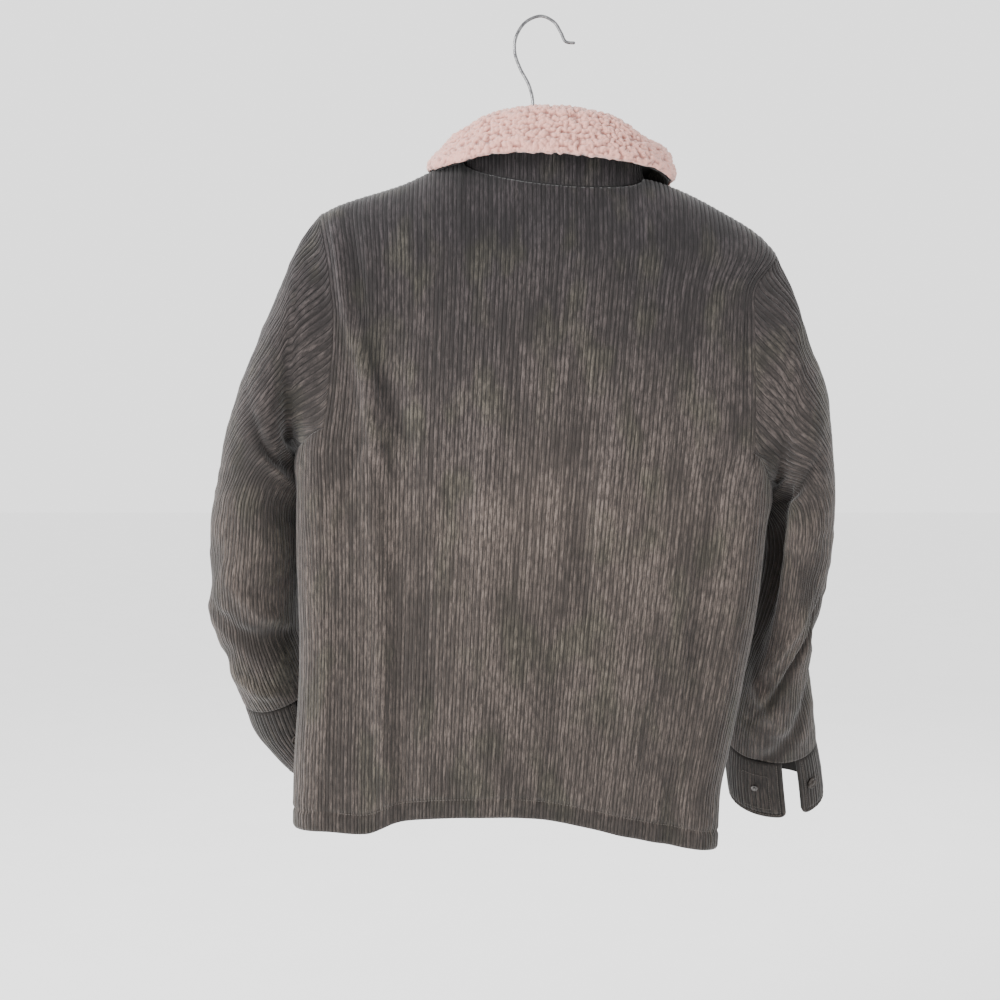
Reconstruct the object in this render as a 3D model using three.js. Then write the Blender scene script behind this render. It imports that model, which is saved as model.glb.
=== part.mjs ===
// A corduroy jacket with a sherpa collar and lining, hanging on a hanger and shown from behind.
// Millimetres, +Z up. The back of the jacket faces -Y and the wearer's right side is +X.
// The origin is where a rail touches the inside of the hanger's hook, so everything hangs below it.
import * as THREE from "three";

// Driving dimensions of the cloth.
const WALL = 3;            // corduroy and fleece lining together
const SEAM = 0.3;          // gap between two pieces that are sewn together
const WALE = 0.8;          // how far a raised wale stands out of the cloth
const PANEL_WALES = 52;    // raised wales across the back, from armhole to armhole
const SIDE_WALES = 7;      // raised wales round each side, from the armhole's line to the side seam
const SLEEVE_WALES = 40;   // raised wales round a sleeve
const LINING_STEP = 4;     // the plain inside has one column for this many outside
// Columns of the back: two for each wale. The armholes start at the first and the last of the panel's.
const COLUMNS = 2 * (PANEL_WALES + 2 * SIDE_WALES);
const ARM_COLUMN = 2 * SIDE_WALES;
const MIDDLE = COLUMNS / 2;

// Colours of the materials.
const CORDUROY = { color: 0x5b5650, roughness: 0.95, metalness: 0 };
const SHERPA = { color: 0xd3b0a8, roughness: 1, metalness: 0 };
const STEEL = { color: 0xb9bbbd, roughness: 0.25, metalness: 1 };
const SNAP_METAL = { color: 0x3a3632, roughness: 0.4, metalness: 0.9 };
const PLASTIC = { color: 0x17171a, roughness: 0.5, metalness: 0 };

// Outline of the body: the side seams, the lines where the armholes start, and how deep it hangs.
const BODY = [
  { z: -870, sideLeft: -261, armLeft: -227, armRight: 158, sideRight: 187, back: 47, front: 50 },
  { z: -808, sideLeft: -260, armLeft: -226, armRight: 162, sideRight: 190, back: 54, front: 55 },
  { z: -764, sideLeft: -258, armLeft: -225, armRight: 169, sideRight: 199, back: 58, front: 58 },
  { z: -685, sideLeft: -253, armLeft: -222, armRight: 184, sideRight: 214, back: 62, front: 63 },
  { z: -605, sideLeft: -253, armLeft: -221, armRight: 198, sideRight: 228, back: 65, front: 67 },
  { z: -527, sideLeft: -255, armLeft: -222, armRight: 206, sideRight: 236, back: 67, front: 70 },
  { z: -484, sideLeft: -254, armLeft: -223, armRight: 210, sideRight: 239, back: 67, front: 71 },
  { z: -446, sideLeft: -251, armLeft: -224, armRight: 217, sideRight: 242, back: 67, front: 71 },
  { z: -386, sideLeft: -250, armLeft: -216, armRight: 218, sideRight: 242, back: 65, front: 69 },
  { z: -314, sideLeft: -250, armLeft: -211, armRight: 217, sideRight: 244, back: 62, front: 66 },
  { z: -280, sideLeft: -250, armLeft: -214, armRight: 220, sideRight: 247, back: 60, front: 64 },
  { z: -245, sideLeft: -250, armLeft: -219, armRight: 245, sideRight: 250, back: 58, front: 62 },
  { z: -204, sideLeft: -250, armLeft: -229, armRight: 245, sideRight: 255, back: 56, front: 60 },
];
// The wales nearest the two armholes: straight lines, which lean as the jacket hangs.
const LEANING = { top: -245, bottom: -870, leftTop: -229, leftBottom: -227, rightTop: 238, rightBottom: 158 };
// The shoulder line that rests on the hanger, from the left armhole to the right one.
const SHOULDER = [
  { x: -230, z: -203 },
  { x: -203, z: -190.5 },
  { x: -146, z: -172.5 },
  { x: -80, z: -148 },
  { x: 106, z: -165.5 },
  { x: 143, z: -176.5 },
  { x: 187, z: -198.5 },
  { x: 226, z: -223 },
  { x: 250, z: -248 },
];
// The hem, which is pulled up in the middle of the back: across from side seam to side seam.
const HEM_BACK = [
  { s: -1, z: -844 },
  { s: -0.8, z: -842 },
  { s: -0.6, z: -845 },
  { s: -0.48, z: -833 },
  { s: -0.3, z: -827 },
  { s: 0, z: -825 },
  { s: 0.23, z: -832 },
  { s: 0.48, z: -846 },
  { s: 0.72, z: -859 },
  { s: 1, z: -868 },
];
const HEM_FRONT = [
  { s: -1, z: -844 },
  { s: -0.5, z: -840 },
  { s: 0.1, z: -841 },
  { s: 0.6, z: -853 },
  { s: 1, z: -868 },
];
const ARM_SHARE = PANEL_WALES / (PANEL_WALES + 2 * SIDE_WALES);
const ARM_BEND = 4;          // power of the bend by which the outer wales follow an armhole
const NOTCH = { left: -424, right: -450 };      // where the armhole leaves the flat of the panel
const UNDERARM = { left: -446, right: -484 };   // where it meets the side seam
const UNDERARM_SCOOP = 1.5;  // power of the curve between the two
const SHOULDER_DROP = 82;    // over this height the cloth rounds from the shoulder down to its full depth
const SHOULDER_Y = 4;        // the shoulder seam lies a little forward of the middle
const SIDE_DEPTH = 0.8;      // the depth at the armhole line, as a share of the depth in the middle

// The neck, which is an oval seen from above.
const NECK = { x: 13, half: 93, backDepth: 38, backDrop: 20, frontDepth: 40, frontDrop: 82 };
const FRONT_SCOOP = { depth: 0.8, drop: 1.7 };  // powers that make the front's edge fuller than an oval
const EDGE_ROUNDS = 4;       // a leaning column's top is found in this many rounds

// Soft folds that hang down the body: across, how far down it starts and ends, how wide and how deep.
const FOLDS_BACK = [
  { s: -0.66, lean: 0.10, top: -215, bottom: -600, wide: 0.045, deep: 5 },
  { s: -0.50, lean: 0.03, top: -260, bottom: -860, wide: 0.07, deep: -4 },
  { s: -0.15, lean: 0.02, top: -420, bottom: -870, wide: 0.09, deep: 3 },
  { s: 0.20, lean: -0.03, top: -330, bottom: -820, wide: 0.08, deep: -3.5 },
  { s: 0.52, lean: -0.05, top: -300, bottom: -870, wide: 0.07, deep: 4 },
  { s: 0.72, lean: -0.04, top: -560, bottom: -870, wide: 0.05, deep: -5 },
];
const FOLD_FADE = 0.25;      // share of a fold's height over which it deepens
const FOLDS_FRONT = [
  { s: -0.60, lean: 0.06, top: -240, bottom: -700, wide: 0.06, deep: 5 },
  { s: -0.30, lean: 0.02, top: -400, bottom: -870, wide: 0.08, deep: -4 },
  { s: 0.30, lean: -0.02, top: -420, bottom: -870, wide: 0.08, deep: -4 },
  { s: 0.60, lean: -0.05, top: -260, bottom: -800, wide: 0.06, deep: 5 },
];

// Rings of the sleeves after the armhole: the outer and the inner edge seen from behind, the middle's
// depth, half the ring's depth, and how far it is pitched forwards, in degrees.
const SLEEVE_LEFT = [
  { outX: -246, outZ: -226, inX: -258, inZ: -436, midY: 2, half: 56, pitch: 0 },
  { outX: -269, outZ: -277, inX: -266, inZ: -440, midY: 4, half: 61, pitch: 0 },
  { outX: -300, outZ: -348, inX: -266, inZ: -452, midY: 8, half: 65, pitch: 0 },
  { outX: -328, outZ: -420, inX: -258, inZ: -474, midY: 14, half: 66, pitch: 0 },
  { outX: -342, outZ: -486, inX: -255, inZ: -500, midY: 20, half: 66, pitch: 2 },
  { outX: -349, outZ: -540, inX: -255, inZ: -540, midY: 25, half: 64, pitch: 6 },
  { outX: -356, outZ: -603, inX: -258, inZ: -583, midY: 33, half: 60, pitch: 12 },
  { outX: -347, outZ: -644, inX: -261, inZ: -620, midY: 47, half: 57, pitch: 21 },
  { outX: -335, outZ: -684, inX: -255, inZ: -658, midY: 63, half: 51, pitch: 28 },
  { outX: -324, outZ: -720, inX: -244, inZ: -694, midY: 80, half: 42, pitch: 33 },
];
const CUFF_LEFT = [
  { outX: -313, outZ: -757, inX: -231, inZ: -738, midY: 97, half: 38, pitch: 34 },
  { outX: -282, outZ: -797, inX: -202, inZ: -785, midY: 114, half: 38, pitch: 34 },
];
const SLEEVE_RIGHT = [
  { outX: 258, outZ: -272, inX: 245, inZ: -479, midY: 2, half: 56, pitch: 0 },
  { outX: 278, outZ: -328, inX: 251, inZ: -482, midY: 6, half: 60, pitch: 0 },
  { outX: 299, outZ: -386, inX: 251, inZ: -490, midY: 10, half: 62, pitch: 0 },
  { outX: 308, outZ: -446, inX: 246, inZ: -506, midY: 16, half: 62, pitch: 0 },
  { outX: 310, outZ: -500, inX: 240, inZ: -528, midY: 21, half: 62, pitch: 4 },
  { outX: 308, outZ: -558, inX: 235, inZ: -565, midY: 27, half: 60, pitch: 9 },
  { outX: 301, outZ: -618, inX: 230, inZ: -616, midY: 38, half: 56, pitch: 16 },
  { outX: 294, outZ: -676, inX: 222, inZ: -672, midY: 56, half: 51, pitch: 26 },
  { outX: 303, outZ: -734, inX: 214, inZ: -728, midY: 83, half: 45, pitch: 32 },
  { outX: 311, outZ: -773, inX: 213, inZ: -772, midY: 106, half: 38, pitch: 36 },
];
const CUFF_RIGHT = [
  { outX: 320, outZ: -806, inX: 214, inZ: -806, midY: 122, half: 38, pitch: 36 },
  { outX: 326, outZ: -840, inX: 220, inZ: -841, midY: 138, half: 39, pitch: 36 },
];
// Creases of a sleeve: along it in rings, round it in turns from the outside by way of the back, the
// slant of the crease, its two half-widths and its depth.
const CREASES_LEFT = [
  { ring: 4.1, turn: 0.36, slant: 1.5, alongHalf: 0.42, roundHalf: 0.14, deep: -5 },
  { ring: 5.0, turn: 0.40, slant: 1.0, alongHalf: 0.45, roundHalf: 0.12, deep: 4 },
  { ring: 6.6, turn: 0.05, slant: -4, alongHalf: 0.5, roundHalf: 0.16, deep: -6 },
  { ring: 7.7, turn: 0.22, slant: 5, alongHalf: 0.45, roundHalf: 0.18, deep: -6 },
  { ring: 8.6, turn: 0.06, slant: -4, alongHalf: 0.4, roundHalf: 0.14, deep: -5 },
  { ring: 6.8, turn: 0.72, slant: 4, alongHalf: 0.5, roundHalf: 0.2, deep: -6 },
  { ring: 8.2, turn: 0.66, slant: -4, alongHalf: 0.5, roundHalf: 0.2, deep: -5 },
];
const CREASES_RIGHT = [
  { ring: 4.1, turn: 0.37, slant: 1.5, alongHalf: 0.45, roundHalf: 0.13, deep: -5 },
  { ring: 5.1, turn: 0.3, slant: 2, alongHalf: 0.5, roundHalf: 0.12, deep: 4 },
  { ring: 7.2, turn: 0.1, slant: -5, alongHalf: 0.45, roundHalf: 0.15, deep: -6 },
  { ring: 8.6, turn: 0.2, slant: 7, alongHalf: 0.4, roundHalf: 0.16, deep: -7 },
  { ring: 6.8, turn: 0.72, slant: 4, alongHalf: 0.5, roundHalf: 0.2, deep: -6 },
  { ring: 8.2, turn: 0.66, slant: -4, alongHalf: 0.5, roundHalf: 0.2, deep: -5 },
];
const ARMHOLE_GAP = 1.2;     // a sleeve's first ring stands this far off the armhole's edge
const CUFF_WALL = 3.2;
// The cuffs' open slits, in turns from the outside by way of the back.
const CUFF_OPEN = { left: { from: 0.33, to: 0.38 }, right: { from: 0.17, to: 0.228 } };
const CUFF_CAP = -0.05;      // the cap is this many turns before the slit,
const CUFF_STUD = 0.1;       // and the stud this many after it
const CUFF_COLUMNS = 36;
const CUFF_STEP = 0.014;     // a cuff starts this share of its first stretch below the sleeve's end

// The collar round the neck, in degrees from the middle of the back, the wearer's right positive: how
// high it rolls, the roll's radius, and where the edge of its fall is, outwards and above the neck seam.
const COLLAR = [
  { angle: -170, rise: 22, roll: 8, out: 26, edge: -43 },
  { angle: -154, rise: 19, roll: 8, out: 28, edge: -38 },
  { angle: -138, rise: 18, roll: 8, out: 30, edge: -30 },
  { angle: -124, rise: 19, roll: 8, out: 35, edge: -10 },
  { angle: -112, rise: 20, roll: 8, out: 36, edge: -7 },
  { angle: -100, rise: 20, roll: 8, out: 35, edge: -8 },
  { angle: -90, rise: 20, roll: 8, out: 35, edge: -8 },
  { angle: -76, rise: 27, roll: 8, out: 34, edge: -5 },
  { angle: -62, rise: 36, roll: 8, out: 31, edge: 3 },
  { angle: -35, rise: 59, roll: 8, out: 27, edge: 21 },
  { angle: 0, rise: 71, roll: 8, out: 25, edge: 29 },
  { angle: 35, rise: 65, roll: 8, out: 27, edge: 25 },
  { angle: 62, rise: 42, roll: 10, out: 31, edge: 14 },
  { angle: 76, rise: 34, roll: 13, out: 32, edge: 3 },
  { angle: 90, rise: 29, roll: 14, out: 29, edge: -1 },
  { angle: 100, rise: 24, roll: 11, out: 30, edge: -3 },
  { angle: 112, rise: 20, roll: 8, out: 33, edge: -9 },
  { angle: 124, rise: 19, roll: 8, out: 34, edge: -14 },
  { angle: 138, rise: 19, roll: 8, out: 30, edge: -30 },
  { angle: 154, rise: 20, roll: 8, out: 28, edge: -38 },
  { angle: 170, rise: 22, roll: 8, out: 26, edge: -43 },
];
const COLLAR_END = 170;      // the two ends stop short of the middle of the front
const COLLAR_SKIP = 2;       // it has a column on every second one of the panels, on each by the shoulders
const COLLAR_INSET = 2;      // and this far inside it
const PILE_GAP = 0.6;        // between the collar's two layers
const STAND_LEAN = 4;        // the stand leans towards the neck by this much
const PILE = 8.5;            // thickness of the sherpa
const UNDER_COLLAR = 2;      // thickness of the corduroy beneath it
const COLLAR_LIFT = 0.5;     // the stand starts this far above the neck's edge
const STAND_SHARE = 0.4;     // shares of the section: the stand ends here,
const ROLL_SHARE = 0.62;     // and the fall starts here
const ROLL_TURN = 0.86;      // the roll turns over by this share of a half turn

// Press snaps: caps down the front, caps and studs on the cuffs.
const CAP = { top: 5.4, base: 6.8, height: 2.2, sides: 8 };
const STUD = { top: 3, base: 4, height: 2.4, sides: 8 };
const SNAP_HEIGHTS = [-300, -400, -500, -600, -700, -798];
const FRONT_OVERLAP = 4;     // columns by which each front passes the middle

// The hanger: a wire hook and two arms, tilted as the jacket hangs.
const HANGER_LINE = [
  { x: -212, z: -205.9 },
  { x: -146, z: -184.3 },
  { x: -84, z: -163 },
  { x: -64, z: -160 },
  { x: -36, z: -150 },
  { x: -8, z: -143 },
  { x: 40, z: -156 },
  { x: 84, z: -177 },
  { x: 110, z: -183 },
  { x: 143, z: -190 },
  { x: 187, z: -211.3 },
  { x: 204, z: -221.8 },
];
const HANGER_BAR = { high: 4.4, deep: 6.5, sides: 8, steps: 16 };
const WIRE = { radius: 1.7, sides: 6, steps: 24 };
const HOOK = [
  { x: -8, z: -139.6 },
  { x: -8, z: -86 },
  { x: -12, z: -69 },
  { x: -21, z: -52 },
  { x: -26.5, z: -36 },
  { x: -25.5, z: -20 },
  { x: -16, z: -5 },
  { x: 0, z: 1.6 },
  { x: 14, z: -4.5 },
  { x: 21.5, z: -16 },
  { x: 26, z: -24.5 },
  { x: 36, z: -26 },
];

// A smooth curve through one column of a table, read at a place in its first column.
function column(table, at, key) {
  const places = table.map((row) => row[at]);
  const values = table.map((row) => row[key]);
  const last = places.length - 1;
  const slope = values.map((_, i) => {
    const a = Math.max(i - 1, 0);
    const b = Math.min(i + 1, last);
    return (values[b] - values[a]) / (places[b] - places[a]);
  });
  return (x) => {
    if (x <= places[0]) return values[0];
    if (x >= places[last]) return values[last];
    let i = 0;
    while (x > places[i + 1]) i += 1;
    const width = places[i + 1] - places[i];
    const t = (x - places[i]) / width;
    const rest = 1 - t;
    return (1 + 2 * t) * rest * rest * values[i] + t * rest * rest * width * slope[i]
      + t * t * (3 - 2 * t) * values[i + 1] - t * t * rest * width * slope[i + 1];
  };
}

const mix = (a, b, t) => a + (b - a) * t;
const clamp = (x, low, high) => Math.min(Math.max(x, low), high);
const add = (p, q, k = 1) => [p[0] + q[0] * k, p[1] + q[1] * k, p[2] + q[2] * k];
const minus = (p, q) => add(p, q, -1);
const cross = (p, q) => [p[1] * q[2] - p[2] * q[1], p[2] * q[0] - p[0] * q[2], p[0] * q[1] - p[1] * q[0]];
const unit = (p) => {
  const size = Math.hypot(...p);
  return [p[0] / size, p[1] / size, p[2] / size];
};

// The body's surface.
const body = Object.fromEntries(
  ["sideLeft", "armLeft", "armRight", "sideRight", "back", "front"].map(
    (key) => [key, column(BODY, "z", key)],
  ),
);
const shoulderLine = column(SHOULDER, "x", "z");
const hems = { back: column(HEM_BACK, "s", "z"), front: column(HEM_FRONT, "s", "z") };
const neckLeft = { x: NECK.x - NECK.half, z: shoulderLine(NECK.x - NECK.half) };
const neckRight = { x: NECK.x + NECK.half, z: shoulderLine(NECK.x + NECK.half) };

// Across the body at a level. Wales run straight down, and only those near an armhole bend with it.
function acrossBody(s, z) {
  const down = Math.max((LEANING.top - z) / (LEANING.top - LEANING.bottom), 0);
  const left = mix(LEANING.leftTop, LEANING.leftBottom, down);
  const right = mix(LEANING.rightTop, LEANING.rightBottom, down);
  const bend = s < 0 ? body.armLeft(z) - left : body.armRight(z) - right;
  const share = s / ARM_SHARE;
  return mix(left, right, (share + 1) / 2) + bend * share ** ARM_BEND;
}

// A point of the neck's edge, by its place across and whether it is on the back or the front.
function neckEdge(x, side) {
  const across = clamp((x - NECK.x) / NECK.half, -1, 1);
  const inward = Math.sqrt(1 - across * across);
  const chord = mix(neckLeft.z, neckRight.z, (across + 1) / 2);
  const [deep, drop] = side === "back"
    ? [-(NECK.backDepth + SHOULDER_Y) * inward, NECK.backDrop * inward]
    : [
      (NECK.frontDepth - SHOULDER_Y) * inward ** FRONT_SCOOP.depth,
      NECK.frontDrop * inward ** FRONT_SCOOP.drop,
    ];
  return { y: SHOULDER_Y + deep, z: chord - drop, inNeck: inward };
}

// The top edge of a panel at a column: the shoulder seam, or the neck's edge between its two ends.
function topEdge(s, side) {
  let x = acrossBody(s, LEANING.top);
  for (let round = 0; round < EDGE_ROUNDS; round += 1) x = acrossBody(s, shoulderLine(x));
  const inNeck = Math.abs(x - NECK.x) < NECK.half;
  return inNeck ? neckEdge(x, side) : { y: SHOULDER_Y, z: shoulderLine(x), inNeck: 0 };
}

// How far up the lower part of a column reaches: the notch's level, or the armhole's curve at the sides.
function lowerTop(s) {
  const level = mix(NOTCH.left, NOTCH.right, (clamp(s / ARM_SHARE, -1, 1) + 1) / 2);
  const beyond = clamp((Math.abs(s) - ARM_SHARE) / (1 - ARM_SHARE), 0, 1);
  const drop = s < 0 ? NOTCH.left - UNDERARM.left : NOTCH.right - UNDERARM.right;
  return level - drop * Math.sin(beyond * Math.PI / 2) ** UNDERARM_SCOOP;
}

// Height of a point: rows below 1 are the lower part from the hem, rows from 1 to 2 the upper part.
function height(s, row, side) {
  return row <= 1
    ? mix(hems[side](s), lowerTop(s), row)
    : mix(lowerTop(s), topEdge(s, side).z, row - 1);
}

// The soft folds as one number, outwards positive.
function foldDepth(folds, s, z) {
  return folds.reduce((sum, fold) => {
    const down = (fold.top - z) / (fold.top - fold.bottom);
    if (down <= 0) return sum;
    const off = (s - fold.s - fold.lean * down) / fold.wide;
    const fade = Math.sin(Math.min(down / FOLD_FADE, 1) * Math.PI / 2);
    return sum + fold.deep * fade * Math.exp(-off * off);
  }, 0);
}

// A point of the body. s runs from the left side seam, -1, to the right one, 1.
function bodyPoint(s, row, side) {
  const z = height(s, row, side);
  const sign = side === "back" ? -1 : 1;
  const full = body[side](z);
  const middle = clamp(1 - (s / ARM_SHARE) ** 2, 0, 1);
  const folds = side === "back" ? FOLDS_BACK : FOLDS_FRONT;
  const depth = full * mix(SIDE_DEPTH, 1, middle * middle) + foldDepth(folds, s, z);
  const beyond = (Math.abs(s) - ARM_SHARE) / (1 - ARM_SHARE);
  if (beyond > 0) {
    const arm = s < 0 ? body.armLeft(z) : body.armRight(z);
    const edge = s < 0 ? body.sideLeft(z) : body.sideRight(z);
    const turn = beyond * Math.PI / 2;
    return [mix(arm, edge, Math.sin(turn)), sign * (SEAM / 2 + depth * Math.cos(turn)), z];
  }
  const x = acrossBody(s, z);
  if (row <= 1) return [x, sign * depth, z];
  const top = topEdge(s, side);
  const down = clamp((top.z - z) / SHOULDER_DROP, 0, 1);
  const overShoulder = Math.sqrt(1 - (1 - down) ** 2);
  const belowNeck = 1 - (1 - down) ** 2;
  const round = mix(overShoulder, belowNeck, top.inNeck);
  return [x, mix(top.y + sign * SEAM / 2, sign * depth, round), z];
}

// The outward direction at a point of a surface, from its two tangents.
function outward(surface, u, v, du, dv) {
  const along = minus(surface(u + du, v), surface(u - du, v));
  const up = minus(surface(u, v + dv), surface(u, v - dv));
  return unit(cross(along, up));
}

// Joins columns of vertices into triangles. Columns may have different lengths at the armholes.
function sheet(columns, closed) {
  const points = [];
  const index = columns.map((one) => one.map((p) => points.push(p) - 1));
  const faces = [];
  const count = closed ? columns.length : columns.length - 1;
  for (let i = 0; i < count; i += 1) {
    const a = index[i];
    const b = index[(i + 1) % columns.length];
    for (let j = 0; j + 1 < Math.min(a.length, b.length); j += 1) {
      faces.push([a[j], b[j], b[j + 1]], [a[j], b[j + 1], a[j + 1]]);
    }
  }
  return { points, faces };
}

// The edges of a sheet that only one triangle has, followed into loops.
function loops({ faces }) {
  const edges = new Map();
  for (const [a, b, c] of faces) {
    for (const [p, q] of [[a, b], [b, c], [c, a]]) {
      if (edges.has(`${q}_${p}`)) edges.delete(`${q}_${p}`);
      else edges.set(`${p}_${q}`, [p, q]);
    }
  }
  const next = new Map([...edges.values()]);
  const found = [];
  while (next.size) {
    const start = Math.min(...next.keys());
    const loop = [start];
    let at = next.get(start);
    next.delete(start);
    while (at !== start) {
      loop.push(at);
      const following = next.get(at);
      next.delete(at);
      at = following;
    }
    found.push(loop);
  }
  return found;
}

// Where each vertex of a loop lies along it, as a share of the whole way round.
function shares(points, loop) {
  const way = [0];
  loop.forEach((p, i) => {
    const q = points[loop[(i + 1) % loop.length]];
    way.push(way[i] + Math.hypot(...minus(q, points[p])));
  });
  return way.map((w) => w / way[way.length - 1]);
}

// A closed wall from an outer sheet and a coarser inner one: the inner is turned over and the rims joined.
function wall(outer, inner) {
  const points = [...outer.points, ...inner.points];
  const shift = outer.points.length;
  const faces = [...outer.faces, ...inner.faces.map(([a, b, c]) => [a + shift, c + shift, b + shift])];
  const innerLoops = loops(inner);
  loops(outer).forEach((loop, n) => {
    const other = innerLoops[n];
    const here = shares(outer.points, loop);
    const there = shares(inner.points, other);
    let i = 0;
    let j = 0;
    while (i < loop.length || j < other.length) {
      const a = loop[i % loop.length];
      const q = other[j % other.length] + shift;
      const stepOuter = j >= other.length || (i < loop.length && here[i + 1] <= there[j + 1]);
      if (stepOuter) {
        faces.push([loop[(i + 1) % loop.length], a, q]);
        i += 1;
      } else {
        faces.push([a, q, other[(j + 1) % other.length] + shift]);
        j += 1;
      }
    }
  });
  return geometry(points, faces);
}

function geometry(points, faces) {
  const shape = new THREE.BufferGeometry();
  shape.setAttribute("position", new THREE.Float32BufferAttribute(points.flat(), 3));
  shape.setIndex(faces.flat());
  shape.computeVertexNormals();
  return shape;
}

const group = new THREE.Group();

function piece(name, shape, look) {
  const mesh = new THREE.Mesh(shape, new THREE.MeshStandardMaterial(look));
  mesh.name = name;
  group.add(mesh);
  return mesh;
}

// Rows of the body panels: the hem's edge, its lip and stitched groove, then up to the armhole and over.
const GROOVE_ROW = 0.05;
const GROOVE = 1.5;          // depth of the stitched line above the hem
const PLAIN_LOWER_ROWS = [0.27, 0.5, 0.76, 1];
const LOWER_ROWS = [0, 0.042, GROOVE_ROW, 0.064, ...PLAIN_LOWER_ROWS];
const UPPER_ROWS = [1.36, 1.64, 1.84, 1.95, 2];
const INNER_ROWS = [0, ...PLAIN_LOWER_ROWS, ...UPPER_ROWS];
const SLOT = 0.002;          // step for tangents across a panel
const RISE = 0.004;          // step for tangents up a panel
const AT_EDGE = 0.999;       // a share past this one is on the edge

// A vertex of a body panel, moved along the outward direction. At seams that direction keeps in the seam.
function bodyVertex(s, row, side, move) {
  const surface = (u, v) => bodyPoint(u, v, side);
  const inset = clamp(row, RISE, 2 - RISE);
  const across = row > 1 ? clamp(s, SLOT - ARM_SHARE, ARM_SHARE - SLOT) : s;
  const around = side === "back" ? 1 : -1;
  let n = outward(surface, across, inset, SLOT * around, RISE);
  const atSide = Math.abs(s) > AT_EDGE;
  const atTop = row > 1 + AT_EDGE;
  if (atSide) n = [Math.sign(s), 0, 0];
  if (atTop) n = unit([n[0], n[1] * topEdge(s, side).inNeck, n[2]]);
  return add(bodyPoint(s, row, side), n, move);
}

// One panel of the body between two columns. under is how far it tucks beneath its neighbour.
function bodyPanel(side, first, last, under) {
  const make = (step, rows, move) => {
    const columns = [];
    for (let i = first; i <= last; i += 1) {
      if (i !== first && i !== last && (i - ARM_COLUMN) % step) continue;
      const s = mix(-1, 1, i / COLUMNS);
      const high = i >= ARM_COLUMN && i <= COLUMNS - ARM_COLUMN;
      const here = rows.filter((row) => high || row <= 1);
      columns.push(here.map((row) => bodyVertex(s, row, side, move(i, row, high) - under(i))));
    }
    return sheet(side === "back" ? columns : columns.reverse(), false);
  };
  const raised = (i, row, high) => {
    const atEdge = row === 2 || (row === 1 && !high);
    const groove = row === GROOVE_ROW ? GROOVE : 0;
    return (i % 2 && !atEdge ? WALE : 0) - groove;
  };
  const outer = make(1, [...LOWER_ROWS, ...UPPER_ROWS], raised);
  const inner = make(LINING_STEP, INNER_ROWS, () => -WALL);
  return wall(outer, inner);
}

piece("back", bodyPanel("back", 0, COLUMNS, () => 0), CORDUROY);

// The left front laps over the right one, which sinks beneath it near the middle.
const LAP_GAP = 1;
const LAP = WALL + WALE + LAP_GAP;
piece("front_left", bodyPanel("front", 0, MIDDLE + FRONT_OVERLAP, () => 0), CORDUROY);
const sunk = (i) => LAP * clamp((MIDDLE + 3 * FRONT_OVERLAP - i) / (2 * FRONT_OVERLAP), 0, 1);
piece("front_right", bodyPanel("front", MIDDLE - FRONT_OVERLAP, COLUMNS, sunk), CORDUROY);

// The edge of an armhole, from the shoulder's tip down the back or the front to the side seam.
function armholeEdge(left, side, move) {
  const sign = left ? -1 : 1;
  const down = [...UPPER_ROWS].reverse().map((row) => bodyVertex(sign * ARM_SHARE, row, side, move));
  const round = [];
  for (let i = 0; i <= ARM_COLUMN; i += 1) {
    const s = sign * mix(ARM_SHARE, 1, i / ARM_COLUMN);
    round.push(bodyVertex(s, 1, side, move));
  }
  return [...down, ...round];
}

// A polyline read at a share of its length.
function readLine(line) {
  const way = [0];
  for (let i = 1; i < line.length; i += 1) way.push(way[i - 1] + Math.hypot(...minus(line[i], line[i - 1])));
  const total = way[way.length - 1];
  return (share) => {
    const at = clamp(share, 0, 1) * total;
    let i = 1;
    while (i < line.length - 1 && way[i] < at) i += 1;
    const t = clamp((at - way[i - 1]) / (way[i] - way[i - 1]), 0, 1);
    return add(line[i - 1], minus(line[i], line[i - 1]), t);
  };
}

// A sleeve's ring as an oval: turn 0 is the outside, a quarter is the back, a half is the inside.
function ringPoint(ring, turn) {
  const middle = [(ring.outX + ring.inX) / 2, ring.midY, (ring.outZ + ring.inZ) / 2];
  const reach = [(ring.outX - ring.inX) / 2, 0, (ring.outZ - ring.inZ) / 2];
  const tip = THREE.MathUtils.degToRad(ring.pitch);
  const deep = [0, -Math.cos(tip) * ring.half, -Math.sin(tip) * ring.half];
  const angle = turn * 2 * Math.PI;
  return add(add(middle, reach, Math.cos(angle)), deep, Math.sin(angle));
}

// A point between rings, on a smooth curve through four of them.
function throughRings(rings, place) {
  const i = clamp(Math.floor(place), 0, rings.length - 2);
  const t = place - i;
  const at = (k) => rings[clamp(k, 0, rings.length - 1)];
  const [a, b, c, d] = [at(i - 1), at(i), at(i + 1), at(i + 2)];
  return [0, 1, 2].map((k) => 0.5 * (2 * b[k] + (c[k] - a[k]) * t
    + (2 * a[k] - 5 * b[k] + 4 * c[k] - d[k]) * t * t
    + (3 * b[k] - a[k] - 3 * c[k] + d[k]) * t * t * t));
}

function creaseDepth(creases, ring, turn) {
  return creases.reduce((sum, crease) => {
    let round = turn - crease.turn;
    round -= Math.round(round);
    const along = (ring - crease.ring - crease.slant * round) / crease.alongHalf;
    const side = round / crease.roundHalf;
    return sum + crease.deep * Math.exp(-along * along - side * side);
  }, 0);
}

// A sleeve: its first ring is the armhole's edge, and the rest follow the table.
const SLEEVE_ROWS = [0, 1, 2, 3, 3.6, 4.1, 4.7, 5.6, 6.6, 7.6, 8.6, 9.3, 10];
const SLEEVE_INNER_ROWS = [0, 1, 2, 3, 4.1, 5.6, 6.6, 7.6, 8.6, 10];
const SLEEVE_WALL = 2.6;
const TURN_STEP = 0.004;     // step for tangents round a sleeve or a cuff
const RING_STEP = 0.02;      // and along it
const AHEAD = 0.2;           // how far along a sleeve its direction at the armhole is read

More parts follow.
